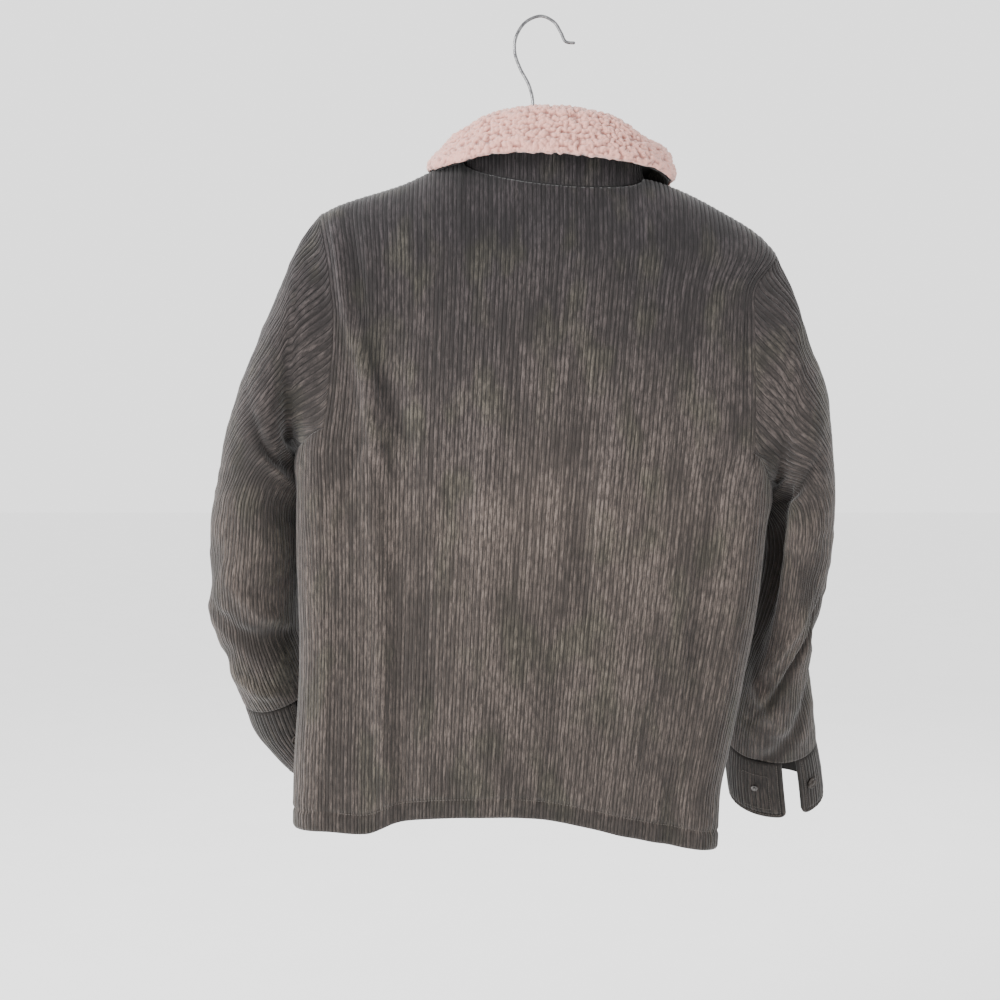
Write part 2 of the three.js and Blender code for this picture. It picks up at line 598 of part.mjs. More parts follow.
function sleeve(left, rings, creases) {
  const edges = (move) => {
    const back = readLine(armholeEdge(left, "back", move));
    const front = readLine(armholeEdge(left, "front", move));
    return (turn) => (turn <= 0.5 ? back(turn * 2) : front((1 - turn) * 2));
  };
  const edgeOut = edges(0);
  const edgeIn = edges(-WALL);
  const surface = (turn, place) => {
    const t = turn - Math.floor(turn);
    const through = [edgeOut(t), ...rings.map((ring) => ringPoint(ring, t))];
    return throughRings(through, place);
  };
  const around = left ? -1 : 1;
  const inset = (place) => clamp(place, RING_STEP, rings.length - RING_STEP);
  const vertex = (turn, place, move) => {
    const n = outward(surface, turn, inset(place), TURN_STEP * around, RING_STEP);
    const base = surface(turn, place);
    const crease = creaseDepth(creases, place, turn);
    if (place > 0) return add(base, n, move + crease);
    const start = move < 0 ? edgeIn(turn) : edgeOut(turn);
    const ahead = unit(minus(surface(turn, AHEAD), base));
    return add(add(start, ahead, ARMHOLE_GAP), n, Math.max(move, 0));
  };
  const count = 2 * SLEEVE_WALES;
  const make = (step, rows, move) => {
    const columns = [];
    for (let i = 0; i < count; i += step) {
      const turn = left ? (1 - i / count) % 1 : i / count;
      columns.push(rows.map((place) => vertex(turn, place, move(i))));
    }
    return sheet(columns, true);
  };
  const outer = make(1, SLEEVE_ROWS, (i) => (i % 2 ? WALE : 0));
  const inner = make(LINING_STEP, SLEEVE_INNER_ROWS, () => -SLEEVE_WALL);
  return wall(outer, inner);
}

piece("sleeve_left", sleeve(true, SLEEVE_LEFT, CREASES_LEFT), CORDUROY);
piece("sleeve_right", sleeve(false, SLEEVE_RIGHT, CREASES_RIGHT), CORDUROY);

// A cuff: a band round the end of its sleeve, open along its slit.
const CUFF_STITCH = { upper: 0.36, lower: 1.64 };
const CUFF_ROWS = [0, 0.28, CUFF_STITCH.upper, CUFF_STITCH.lower, 1.72, 2];
const CUFF_INNER_ROWS = [0, 1, 2];
const CUFF_GROOVE = 0.5;     // depth of the two stitched lines
const CUFF_SAG = 0.3;        // its flat facets lie this far inside the curve
function cuffRings(sleeveRings, rows) {
  const last = sleeveRings[sleeveRings.length - 1];
  const keys = Object.keys(last);
  const first = Object.fromEntries(keys.map((key) => [key, mix(last[key], rows[0][key], CUFF_STEP)]));
  return [first, ...rows];
}
const CUFF_RINGS = {
  left: cuffRings(SLEEVE_LEFT, CUFF_LEFT),
  right: cuffRings(SLEEVE_RIGHT, CUFF_RIGHT),
};
function cuffSurface(rings) {
  return (turn, place) => throughRings(rings.map((ring) => ringPoint(ring, turn)), place);
}
function cuffVertex(left, rings, turn, place, move) {
  const around = left ? -1 : 1;
  const inset = clamp(place, RING_STEP, rings.length - 1 - RING_STEP);
  const n = outward(cuffSurface(rings), turn, inset, TURN_STEP * around, RING_STEP);
  return add(cuffSurface(rings)(turn, place), n, move);
}
function cuff(left, rings) {
  const open = left ? CUFF_OPEN.left : CUFF_OPEN.right;
  const make = (step, rows, move) => {
    const columns = [];
    for (let i = 0; i <= CUFF_COLUMNS; i += step) {
      const share = left ? 1 - i / CUFF_COLUMNS : i / CUFF_COLUMNS;
      const turn = mix(open.to, 1 + open.from, share);
      columns.push(rows.map((place) => cuffVertex(left, rings, turn, place, move(i, place))));
    }
    return sheet(columns, false);
  };
  const stitched = (place) => place === CUFF_STITCH.upper || place === CUFF_STITCH.lower;
  const outer = make(1, CUFF_ROWS, (i, place) => (i % 2 ? WALE : 0) - (stitched(place) ? CUFF_GROOVE : 0));
  const inner = make(LINING_STEP, CUFF_INNER_ROWS, () => -CUFF_WALL);
  return wall(outer, inner);
}
piece("cuff_left", cuff(true, CUFF_RINGS.left), CORDUROY);
piece("cuff_right", cuff(false, CUFF_RINGS.right), CORDUROY);

// The collar's section at an angle: up the stand, over the roll and down the fall.
const collarRow = Object.fromEntries(
  ["rise", "roll", "out", "edge"].map((key) => [key, column(COLLAR, "angle", key)]),
);
function collarSection(angle, t) {
  const radius = collarRow.roll(angle);
  const top = collarRow.rise(angle) - radius;
  const foot = [-COLLAR_INSET, COLLAR_LIFT];
  const neckSide = [-STAND_LEAN, top];
  const centre = [-STAND_LEAN + radius, top];
  if (t <= STAND_SHARE) {
    const up = t / STAND_SHARE;
    return [mix(foot[0], neckSide[0], up * up), mix(foot[1], neckSide[1], up)];
  }
  const over = Math.min((t - STAND_SHARE) / (ROLL_SHARE - STAND_SHARE), 1) * ROLL_TURN * Math.PI;
  const roll = [centre[0] - radius * Math.cos(over), centre[1] + radius * Math.sin(over)];
  if (t <= ROLL_SHARE) return roll;
  const fall = (t - ROLL_SHARE) / (1 - ROLL_SHARE);
  const edge = [collarRow.out(angle), collarRow.edge(angle)];
  return [mix(roll[0], edge[0], fall), mix(roll[1], edge[1], fall)];
}

// A point of the collar: its section, carried round the neck's edge.
function collarPoint(angle, t) {
  const turn = THREE.MathUtils.degToRad(angle);
  const side = Math.abs(angle) <= 90 ? "back" : "front";
  const x = NECK.x + NECK.half * Math.sin(turn);
  const edge = neckEdge(x, side);
  const depth = side === "back" ? NECK.backDepth + SHOULDER_Y : NECK.frontDepth - SHOULDER_Y;
  const away = unit([Math.sin(turn) / NECK.half, -Math.cos(turn) / depth, 0]);
  const [r, up] = collarSection(angle, t);
  return [x + away[0] * r, edge.y + away[1] * r, edge.z + up];
}

// A layer of the collar between two distances from the section, on its corduroy side if negative.
const ROLL_ROWS = [STAND_SHARE, 0.455, 0.51, 0.565, ROLL_SHARE];
const UNDER_ROWS = [0, 0.06, 0.12, 0.18, 0.24, 0.3, 0.36, ...ROLL_ROWS, 1];
const PLAIN_ROWS = [0, ...ROLL_ROWS, 1];
const PILE_ROWS = [0, 0.05, ...ROLL_ROWS, 0.94, 1];
const BY_SHOULDER = 0.85;    // share of the neck's half width past which every column is used
const END_CLEAR = 3;         // degrees kept free of columns before an end
const ANGLE_STEP = 0.5;      // steps for tangents round the collar and along its section
const SECTION_STEP = 0.01;
function collarAngles() {
  const found = [];
  for (let i = 0; i <= COLUMNS; i += 1) {
    const x = acrossBody(mix(-1, 1, i / COLUMNS), topEdge(mix(-1, 1, i / COLUMNS), "back").z);
    const across = (x - NECK.x) / NECK.half;
    const byShoulder = Math.abs(across) > BY_SHOULDER;
    if (Math.abs(across) < 1 && (byShoulder || i % COLLAR_SKIP === 0)) found.push(Math.asin(across));
  }
  const back = found.map(THREE.MathUtils.radToDeg);
  const turned = back.map((angle) => (angle < 0 ? -180 - angle : 180 - angle));
  const front = turned.filter((angle) => Math.abs(angle) < COLLAR_END - END_CLEAR);
  return [-COLLAR_END, -90, ...back, 90, COLLAR_END, ...front].sort((a, b) => a - b);
}
const ANGLES = collarAngles();
function collarSheet(rows, move) {
  const columns = ANGLES.map((angle) => rows.map((t) => {
    const inset = clamp(angle, ANGLE_STEP - COLLAR_END, COLLAR_END - ANGLE_STEP);
    const inRow = clamp(t, SECTION_STEP, 1 - SECTION_STEP);
    const n = outward(collarPoint, inset, inRow, -ANGLE_STEP, SECTION_STEP);
    return add(collarPoint(angle, t), n, move(t));
  }));
  return sheet(columns, false);
}
const flipped = ({ points, faces }) => ({ points, faces: faces.map(([a, b, c]) => [a, c, b]) });
const ribbed = (t) => -UNDER_COLLAR - (t < STAND_SHARE && UNDER_ROWS.indexOf(t) % 2 ? WALE / 2 : 0);
piece("collar", wall(collarSheet(UNDER_ROWS, ribbed), collarSheet(PLAIN_ROWS, () => 0)), CORDUROY);
const PILE_EDGE = 2;         // thickness of the sherpa at its two edges
const PILE_ROUND = 1 / 12;   // share of the section over which it grows to its full thickness
const fullness = (t) => Math.min(Math.min(t, 1 - t) / PILE_ROUND, 1);
const pile = (t) => mix(PILE_EDGE, PILE, Math.sin(fullness(t) * Math.PI / 2));
piece(
  "top_collar",
  wall(flipped(collarSheet(PILE_ROWS, pile)), flipped(collarSheet(PLAIN_ROWS, () => PILE_GAP))),
  SHERPA,
);

// A press snap's half: a low cone on a point of the cloth, facing along a direction.
function snap(name, size, at, facing) {
  const shape = new THREE.CylinderGeometry(size.top, size.base, size.height, size.sides);
  shape.translate(0, size.height / 2, 0);
  const mesh = piece(name, shape, SNAP_METAL);
  mesh.quaternion.setFromUnitVectors(new THREE.Vector3(0, 1, 0), new THREE.Vector3(...facing));
  mesh.position.set(...at);
}
SNAP_HEIGHTS.forEach((z, i) => {
  const hem = hems.front(0);
  const row = z < lowerTop(0)
    ? (z - hem) / (lowerTop(0) - hem)
    : 1 + (z - lowerTop(0)) / (topEdge(0, "front").z - lowerTop(0));
  const at = bodyVertex(0, row, "front", WALE + SEAM);
  const base = bodyVertex(0, row, "front", 0);
  snap(`snap_front_${i + 1}`, CAP, at, unit(minus(at, base)));
});
for (const [name, size, left, turn] of [
  ["snap_cuff_left", CAP, true, CUFF_OPEN.left.from + CUFF_CAP],
  ["stud_cuff_left", STUD, true, CUFF_OPEN.left.to + CUFF_STUD],
  ["snap_cuff_right", CAP, false, CUFF_OPEN.right.from + CUFF_CAP],
  ["stud_cuff_right", STUD, false, CUFF_OPEN.right.to + CUFF_STUD],
]) {
  const rings = left ? CUFF_RINGS.left : CUFF_RINGS.right;
  const between = (move) => {
    const upper = cuffVertex(left, rings, turn, CUFF_STITCH.upper, move);
    return add(upper, minus(cuffVertex(left, rings, turn, CUFF_STITCH.lower, move), upper), 0.5);
  };
  const at = between(WALE + SEAM - CUFF_GROOVE - CUFF_SAG);
  snap(name, size, at, unit(minus(at, between(0))));
}

// A bar or a wire along a curve in the plane of the hanger.
function bar(name, rows, deep, high, sides, steps, look) {
  const section = new THREE.Shape();
  for (let i = 0; i < sides; i += 1) {
    const angle = (i / sides) * 2 * Math.PI;
    const [u, v] = [deep * Math.cos(angle), high * Math.sin(angle)];
    if (i) section.lineTo(u, v);
    else section.moveTo(u, v);
  }
  section.closePath();
  const path = new THREE.CatmullRomCurve3(rows.map(({ x, z }) => new THREE.Vector3(x, 0, z)));
  piece(name, new THREE.ExtrudeGeometry(section, { steps, bevelEnabled: false, extrudePath: path }), look);
}
bar("hanger", HANGER_LINE, HANGER_BAR.deep, HANGER_BAR.high, HANGER_BAR.sides, HANGER_BAR.steps, PLASTIC);
bar("hanger_hook", HOOK, WIRE.radius, WIRE.radius, WIRE.sides, WIRE.steps, STEEL);

export default group;
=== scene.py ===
"""A corduroy jacket with a sherpa collar, hanging from a wire hook and seen from behind.

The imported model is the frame. Lengths in the tables are millimetres, and a mesh is made in metres.
The jacket's back faces -Y and the wearer's right side is +X.
"""

import bpy
import numpy as np
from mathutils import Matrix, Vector


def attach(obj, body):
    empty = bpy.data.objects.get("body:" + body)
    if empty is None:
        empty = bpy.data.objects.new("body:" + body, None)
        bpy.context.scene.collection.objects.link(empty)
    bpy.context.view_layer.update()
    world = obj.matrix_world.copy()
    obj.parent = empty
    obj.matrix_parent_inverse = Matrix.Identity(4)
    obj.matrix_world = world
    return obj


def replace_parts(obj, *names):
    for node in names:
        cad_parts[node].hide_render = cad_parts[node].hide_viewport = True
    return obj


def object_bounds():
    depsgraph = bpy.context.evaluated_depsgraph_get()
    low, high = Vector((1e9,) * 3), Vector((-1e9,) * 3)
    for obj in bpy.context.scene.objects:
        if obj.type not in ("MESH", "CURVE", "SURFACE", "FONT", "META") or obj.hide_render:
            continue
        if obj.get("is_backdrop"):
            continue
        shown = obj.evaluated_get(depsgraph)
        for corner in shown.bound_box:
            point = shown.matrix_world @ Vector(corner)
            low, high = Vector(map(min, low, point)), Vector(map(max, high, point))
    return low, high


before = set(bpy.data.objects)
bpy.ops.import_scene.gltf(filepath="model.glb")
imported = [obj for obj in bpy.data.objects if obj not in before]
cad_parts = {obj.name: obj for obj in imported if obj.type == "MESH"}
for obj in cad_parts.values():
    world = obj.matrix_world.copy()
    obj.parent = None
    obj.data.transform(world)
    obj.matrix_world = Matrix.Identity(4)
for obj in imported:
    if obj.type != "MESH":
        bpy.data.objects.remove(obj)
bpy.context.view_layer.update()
MM = 0.001

# The camera stands behind the jacket at the height of its chest and looks three degrees down.
# The photograph has no depth of field and no shift.
EYE = Vector((-0.0420, -1.79753, -0.40560))
AIM = Vector((-0.0420, 0.0, -0.4998))
lens = bpy.data.cameras.new("camera")
lens.lens = 61.714
lens.sensor_width = 36.0
camera = bpy.data.objects.new("camera", lens)
bpy.context.scene.collection.objects.link(camera)
camera.location = EYE
camera.rotation_euler = (AIM - EYE).to_track_quat("-Z", "Y").to_euler()
bpy.context.scene.camera = camera


class Value:
    """A number that changes over a surface: a socket, and +, * and a number minus it add Math nodes."""

    def __init__(self, finish, socket):
        self.finish = finish
        self.socket = socket

    def math(self, operation, first, second):
        """A Math node with that operation on two numbers or sockets."""
        return self.finish.node("Math", {"operation": operation}, {0: first, 1: second})

    def __add__(self, other):
        return self.math("ADD", self, other)

    def __rsub__(self, other):
        return self.math("SUBTRACT", other, self)

    def __mul__(self, other):
        return self.math("MULTIPLY", self, other)

    __radd__ = __add__
    __rmul__ = __mul__


def socket_name(word):
    """base_color is the socket Base Color."""
    return word.replace("_", " ").title().replace("Ior", "IOR")


class Finish:
    """A material's nodes. node() adds any node, and mix() blends two colours."""

    def __init__(self, name, **constants):
        self.material = bpy.data.materials.new(name)
        self.material.use_nodes = True
        self.tree = self.material.node_tree
        self.shader = self.tree.nodes["Principled BSDF"]
        for socket, value in constants.items():
            self.shader.inputs[socket_name(socket)].default_value = value

    def feed(self, socket, value):
        """Links a varying value to a socket, or sets a plain one."""
        if isinstance(value, Value):
            self.tree.links.new(value.socket, socket)
        else:
            socket.default_value = value

    def node(self, kind, settings=None, values=None, output=0):
        """Adds a node with its settings and inputs, and gives one of its outputs."""
        made = self.tree.nodes.new("ShaderNode" + kind)
        for name, value in (settings or {}).items():
            setattr(made, name, value)
        for name, value in (values or {}).items():
            self.feed(made.inputs[name], value)
        return Value(self, made.outputs[output])

    def mix(self, share, first, second, blend="MIX"):
        """first where share is 0 and second where it is 1."""
        settings = {"data_type": "RGBA", "blend_type": blend}
        return self.node("Mix", settings, {0: share, 6: first, 7: second}, output=2)

    def noise(self, where, scale, detail=3.0, rough=0.55, stretch=(1, 1, 1)):
        """Cloudy noise from about 0.25 to 0.75, on places stretched along the axes."""
        placed = self.node("Mapping", None, {"Vector": where, "Scale": stretch})
        values = {"Vector": placed, "Scale": scale, "Detail": detail, "Roughness": rough}
        return self.node("TexNoise", None, values)

    def spread(self, value, low, high, to_low=0.0, to_high=1.0):
        """Moves a value from one range to another and keeps it inside."""
        values = {"Value": value, 1: low, 2: high, 3: to_low, 4: to_high}
        return self.node("MapRange", {"clamp": True}, values)

    def bump(self, height, strength, distance):
        """The surface's direction, tilted by how a height changes over it."""
        values = {"Strength": strength, "Distance": distance, "Height": height}
        return self.node("Bump", None, values)

    def put(self, **sockets):
        """Feeds the shader's sockets and gives the finished material."""
        for name, value in sockets.items():
            self.feed(self.shader.inputs[socket_name(name)], value)
        return self.material


# The room: a pale floor that is as light as the air behind it, and soft lamps.
# It isn't part of the jacket, which hangs well above the floor.
FLOOR_Z = -1.35
FLOOR_HALF = 14.0
floor_mesh = bpy.data.meshes.new("floor")
corners = [(x * FLOOR_HALF, y * FLOOR_HALF, FLOOR_Z) for x, y in ((-1, -1), (1, -1), (1, 1), (-1, 1))]
floor_mesh.from_pydata(corners, [], [(0, 1, 2, 3)])
floor = bpy.data.objects.new("floor", floor_mesh)
bpy.context.scene.collection.objects.link(floor)
paint = Finish("floor_paint", roughness=0.9)
grain = paint.noise(paint.node("TexCoord", output=3), 6.0)
floor_mesh.materials.append(paint.put(base_color=paint.mix(grain, (0.9, 0.9, 0.9, 1), (0.94, 0.94, 0.94, 1))))
floor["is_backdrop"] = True

air = bpy.data.worlds.new("pale_air")
air.use_nodes = True
air.node_tree.nodes["Background"].inputs["Color"].default_value = (1, 1, 1, 1)
air.node_tree.nodes["Background"].inputs["Strength"].default_value = 2.0
bpy.context.scene.world = air

LAMPS = [
    # name, where it is, its size and its power
    ("key_lamp", (-2.3, -1.9, 0.7), 1.1, 125),
    ("fill_lamp", (-2.2, -1.9, -1.15), 2.0, 105),
    ("back_lamp", (0.4, 2.2, 1.2), 2.0, 40),
]
for name, place, size, power in LAMPS:
    light = bpy.data.lights.new(name, "AREA")
    light.size = size
    light.energy = power
    lamp = bpy.data.objects.new(name, light)
    bpy.context.scene.collection.objects.link(lamp)
    lamp.location = place
    lamp.rotation_euler = (AIM - Vector(place)).to_track_quat("-Z", "Y").to_euler()


# The corduroy: cotton with raised cords of pile, called wales, a thick one beside each thin one.
# Its nap is worn lighter on the wales, and its colour clouds from grey green to warm brown.
# Raised folds are painted lighter, and sunken folds and grooves are painted darker, as light and shade.
REPEAT = 8.3                 # width of a thick and a thin wale together
WALE = 0.95                  # height of a thick wale
# Across one repeat: the place as a share of it, and the height as a share of a thick wale.
WALE_SHAPE = [
    (0.00, 0.0), (0.06, 0.72), (0.17, 1.0), (0.36, 1.0), (0.47, 0.72),
    (0.53, 0.0), (0.59, 0.5), (0.69, 0.78), (0.83, 0.78), (0.94, 0.5),
]
PLACES = np.array([place for place, _ in WALE_SHAPE])
HEIGHTS = np.array([high for _, high in WALE_SHAPE])
PER_REPEAT = len(WALE_SHAPE)


def corduroy(name, cool, warm, moss, depth=1.0):
    """The finish of corduroy. The attribute cloth gives the way across, the way along and the wale's height.

    It is cool near the shoulders and warm below them, with mossy patches. The light of a wale's top is a
    share of that colour. It is more where patches, streaks along the wales and flecks are worn, and more
    on raised folds as painted light. A groove is painted darker as shade, and depth darkens the whole as
    painted shade. A pool of painted light brightens the middle of the back.
    """
    finish = Finish(name, roughness=0.92, sheen_weight=0.2, sheen_roughness=0.45, specular_ior_level=0.25)
    cloth = finish.node("Attribute", {"attribute_name": "cloth"}, output=1)
    place = finish.node("TexCoord", output=3)
    height = finish.node("SeparateXYZ", None, {0: cloth}, output=2)
    level = finish.node("SeparateXYZ", None, {0: place}, output=2)
    clouds = finish.noise(place, 6.0, 4.0, 0.6, (1, 1, 0.6))
    patches = finish.spread(finish.noise(place, 24.0, 3.0, 0.6, (1, 1, 0.5)), 0.37, 0.63)
    mossy = finish.spread(finish.noise(place, 19.0, 2.0, 0.5, (1.3, 1, 0.7)), 0.53, 0.66)
    streaks = finish.spread(finish.noise(cloth, 0.24, 3.0, 0.65, (1, 0.06, 0)), 0.4, 0.6)
    flecks = finish.spread(finish.noise(cloth, 0.42, 3.0, 0.75, (1, 0.2, 0)), 0.4, 0.6)
    # A pool of painted light, one small and one broad, brightens the middle of the back.
    painted_light_spot = finish.node("VectorMath", {"operation": "DISTANCE"}, {0: place, 1: PAINTED_LIGHT_SPOT}, output=1)
    painted_light_broad = finish.spread(painted_light_spot, 0.06, 0.26, 1.0, 0.0)
    painted_light_spot = finish.spread(painted_light_spot + 0.06 * clouds, 0.055, 0.095, 1.0, 0.0)
    grain = finish.spread(finish.noise(cloth, 0.75, 2.0, 0.7, (1, 1, 0)), 0.35, 0.65)
    colour = finish.mix(finish.spread(level + 0.3 * clouds, -0.37, -0.08), warm, cool)
    colour = finish.mix(0.55 * mossy, colour, moss)
    top = finish.spread(height, 0.05, 0.6)
    # Raised folds add painted light to the wear of the wales' tops.
    wear_and_fold_light = finish.spread(0.5 * patches + 0.65 * streaks + 0.7 * finish.spread(height, 0.9, 1.5), 0.2, 0.95)
    # Grooves are painted darker as shade.
    rubbed_and_shaded = top * (0.60 + wear_and_fold_light * (0.30 + 1.05 * flecks)) + (1.0 - top) * (0.52 - 0.36 * wear_and_fold_light)
    # depth darkens the whole finish as painted shade, and the two spots add a pool of painted light.
    light = rubbed_and_shaded * (0.62 + 0.4 * flecks + 0.36 * grain) * (depth * 0.87 + 0.26 * painted_light_spot + 0.34 * painted_light_broad)
    shade = finish.node("CombineXYZ", None, {0: light, 1: light, 2: light})
    nap = finish.noise(cloth, 1.6, 2.0, 0.7, (1, 0.6, 0))
    shaded = finish.mix(1.0, colour, shade, "MULTIPLY")
    return finish.put(base_color=shaded, normal=finish.bump(nap, 0.4, 0.0006))


PAINTED_LIGHT_SPOT = (0.0115, -0.064, -0.5065)   # the middle of the back, where a pool of light is painted
COOL = (0.0165, 0.0136, 0.0144, 1)
WARM = (0.0368, 0.0292, 0.0252, 1)
MOSS = (0.0285, 0.0262, 0.0190, 1)
CORDUROY = corduroy("corduroy", COOL, WARM, MOSS)
# The cuffs wear a darker copy of the corduroy, painted in shade.
SHADED_CUFF_CORDUROY = corduroy("shaded_cuff_corduroy", COOL, WARM, MOSS, 0.5)


# The fleece behind the corduroy: pale curled pile, glued to a thin knit.
# It lines the body and the sleeves, and shows only from inside.
def fleece(name, pale, deep, size, bumpy, modelled=False):
    """The finish of curly pile: rounded cells are the curls, and the gaps between them are painted deeper in
    colour as shade.

    On modelled pile the attribute cloth tells how high a curl stands, and the painted shade of the gaps
    follows that.
    """
    finish = Finish(name, roughness=1.0, sheen_weight=0.5, sheen_roughness=0.6, specular_ior_level=0.1)
    place = finish.node("TexCoord", output=3)
    bend = finish.noise(place, size * 0.7, 2.0)
    twist = finish.node("VectorMath", {"operation": "MULTIPLY_ADD"}, {0: bend, 1: (0.006,) * 3, 2: place})
    curls = finish.node("TexVoronoi", {"feature": "F1"}, {"Vector": twist, "Scale": size})
    fibres = finish.noise(place, size * 6.0, 3.0, 0.7)
    shaded_gaps = finish.spread(curls, 0.2, 0.75)
    if modelled:
        cloth = finish.node("Attribute", {"attribute_name": "cloth"}, output=1)
        stands = finish.node("SeparateXYZ", None, {0: cloth}, output=2)
        shaded_gaps = finish.spread(stands + 0.3 * fibres, 0.15, 0.75, 1.0, 0.0)
    colour = finish.mix(shaded_gaps, pale, deep)
    return finish.put(base_color=colour, normal=finish.bump(fibres * 0.5 + (1.0 - curls), bumpy, 0.003))


# The lining's gaps between its curls are painted in shade.
LINING = fleece("fleece_lining", (0.72, 0.58, 0.53, 1), (0.50, 0.37, 0.33, 1), 190.0, 0.7)


# The body: a back and two fronts, each a thin wall of corduroy and fleece that hangs from the shoulders.
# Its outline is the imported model's, and the smaller creases and every wale are added here.
BODY = {
    "z": [-870, -808, -764, -685, -605, -527, -484, -446, -386, -314, -280, -245, -204],
    "side_left": [-261, -260, -258, -253, -253, -255, -254, -251, -250, -250, -250, -250, -250],
    "arm_left": [-227, -226, -225, -222, -221, -222, -223, -224, -216, -211, -214, -219, -229],
    "arm_right": [158, 162, 169, 184, 198, 206, 210, 217, 218, 217, 220, 245, 245],
    "side_right": [187, 190, 199, 214, 228, 236, 239, 242, 242, 244, 247, 250, 255],
    "back": [47, 54, 58, 62, 65, 67, 67, 67, 65, 62, 60, 58, 56],
    "front": [50, 55, 58, 63, 67, 70, 71, 71, 69, 66, 64, 62, 60],
}
WALE_TOP, WALE_BOTTOM = -245, -870
LEFT_WALE = (-229, -227)     # the outermost straight wales, at those two heights
RIGHT_WALE = (238, 158)
SHOULDER = {
    "x": [-230, -203, -146, -80, 106, 143, 187, 226, 250],
    "z": [-203, -190.5, -172.5, -148, -165.5, -176.5, -198.5, -223, -248],
}
HEM = {
    "back_s": [-1, -0.8, -0.6, -0.48, -0.3, 0, 0.23, 0.48, 0.72, 1],
    "back_z": [-844, -842, -845, -833, -827, -825, -832, -846, -859, -868],
    "front_s": [-1, -0.5, 0.1, 0.6, 1],
    "front_z": [-844, -840, -841, -853, -868],
}
PANEL_REPEATS, SIDE_REPEATS = 52, 7
REPEATS = PANEL_REPEATS + 2 * SIDE_REPEATS
ARM_SHARE = PANEL_REPEATS / REPEATS
ARM_BEND = 4
NOTCH = (-424, -450)         # left and right
UNDERARM = (-446, -484)
UNDERARM_SCOOP = 1.5
UNDERARM_BULGE = 4.0         # the side is pushed out just below the armhole
SHOULDER_DROP = 82
SHOULDER_Y = 4
SIDE_DEPTH = 0.8
SEAM = 0.02
WALL = 3.0
NECK_X, NECK_HALF = 13, 93
TOP_ROUNDS = 4               # a leaning column's top is found in this many rounds
NECK_BACK = {"depth": 38, "drop": 20}
NECK_FRONT = {"depth": 40, "drop": 82}
FRONT_SCOOP = {"depth": 0.8, "drop": 1.7}
FOLD_FADE = 0.25
# Soft folds: place across, lean, heights of the top and the bottom, half width and depth.
FOLDS = {
    "back": [
        (-0.66, 0.10, -215, -600, 0.045, 5),
        (-0.50, 0.03, -260, -860, 0.07, -4),
        (-0.15, 0.02, -420, -870, 0.09, 3),
        (0.20, -0.03, -330, -820, 0.08, -3.5),
        (0.52, -0.05, -300, -870, 0.07, 4),
        (0.72, -0.04, -560, -870, 0.05, -5),
    ],
    "front": [
        (-0.60, 0.06, -240, -700, 0.06, 5),
        (-0.30, 0.02, -400, -870, 0.08, -4),
        (0.30, -0.02, -420, -870, 0.08, -4),
        (0.60, -0.05, -260, -800, 0.06, 5),
    ],
}
# Creases: x and z of the middle, the turn of its line from level in degrees, half length, half width, depth.
CREASES = {
    "back": [
        (-199, -300, 103, 95, 7, 6.0),
        (-170, -430, 104, 60, 7, 4.6),
        (-184, -265, 106, 45, 8, -4.5),
        (-171, -345, 106, 95, 9, -5.4),
        (-190, -452, 68, 34, 5, -2.6),
        (-214, -520, 80, 40, 6, 2.2),
        (-130, -400, 97, 80, 10, 2.6),
        (-60, -470, 84, 80, 12, 2.4),
        (-25, -400, 98, 60, 9, -1.8),
        (40, -560, 96, 110, 12, -2.6),
        (64, -480, 82, 60, 9, 2.2),
        (165, -383, 83, 100, 9, 4.2),
        (211, -333, 84, 62, 8, -4.4),
        (224, -420, 80, 40, 6, 2.6),
        (212, -452, 66, 30, 6, 2.6),
        (190, -520, 80, 60, 8, 3.2),
        (158, -600, 84, 110, 9, -3.0),
        (-120, -640, 93, 100, 12, -2.4),
        (-165, -700, 88, 80, 9, 2.4),
        (90, -720, 80, 80, 11, 2.4),
        (10, -730, 92, 70, 10, -2.0),
        (-222, -700, 88, 80, 7, 2.2),
    ],
    "front": [
        (-196, -320, 98, 80, 9, -2.6),
        (-150, -420, 70, 60, 8, 2.0),
        (150, -400, 108, 70, 9, -2.2),
        (200, -330, 82, 80, 9, 2.4),
        (-100, -620, 92, 120, 12, -2.0),
        (96, -640, 86, 110, 11, 2.0),
        (170, -700, 80, 80, 9, -1.8),
        (-190, -700, 94, 90, 9, 1.8),
    ],
}


def curve(places, values):
    """A smooth line through a table: a cubic between two places, as steep at each as the chord about it."""
    places = np.asarray(places, float)
    values = np.asarray(values, float)
    last = len(places) - 1
    before = np.maximum(np.arange(last + 1) - 1, 0)
    after = np.minimum(np.arange(last + 1) + 1, last)
    slope = (values[after] - values[before]) / (places[after] - places[before])

    def read(x):
        x = np.clip(x, places[0], places[-1])
        i = np.clip(np.searchsorted(places, x) - 1, 0, last - 1)
        wide = places[i + 1] - places[i]
        t = (x - places[i]) / wide
        rest = 1 - t
        near = (1 + 2 * t) * rest * rest * values[i] + t * rest * rest * wide * slope[i]
        far = t * t * (3 - 2 * t) * values[i + 1] - t * t * rest * wide * slope[i + 1]
        return near + far

    return read


def mix(a, b, t):
    """From a at 0 to b at 1."""
    return a + (b - a) * t


def lump(x):
    """A bell: 1 at 0, falling to nothing by about 2."""
    return np.exp(-x * x)


def unit(v):
    """Each vector divided by its own length."""
    return v / np.maximum(np.linalg.norm(v, axis=-1, keepdims=True), 1e-9)


LATTICE = 32


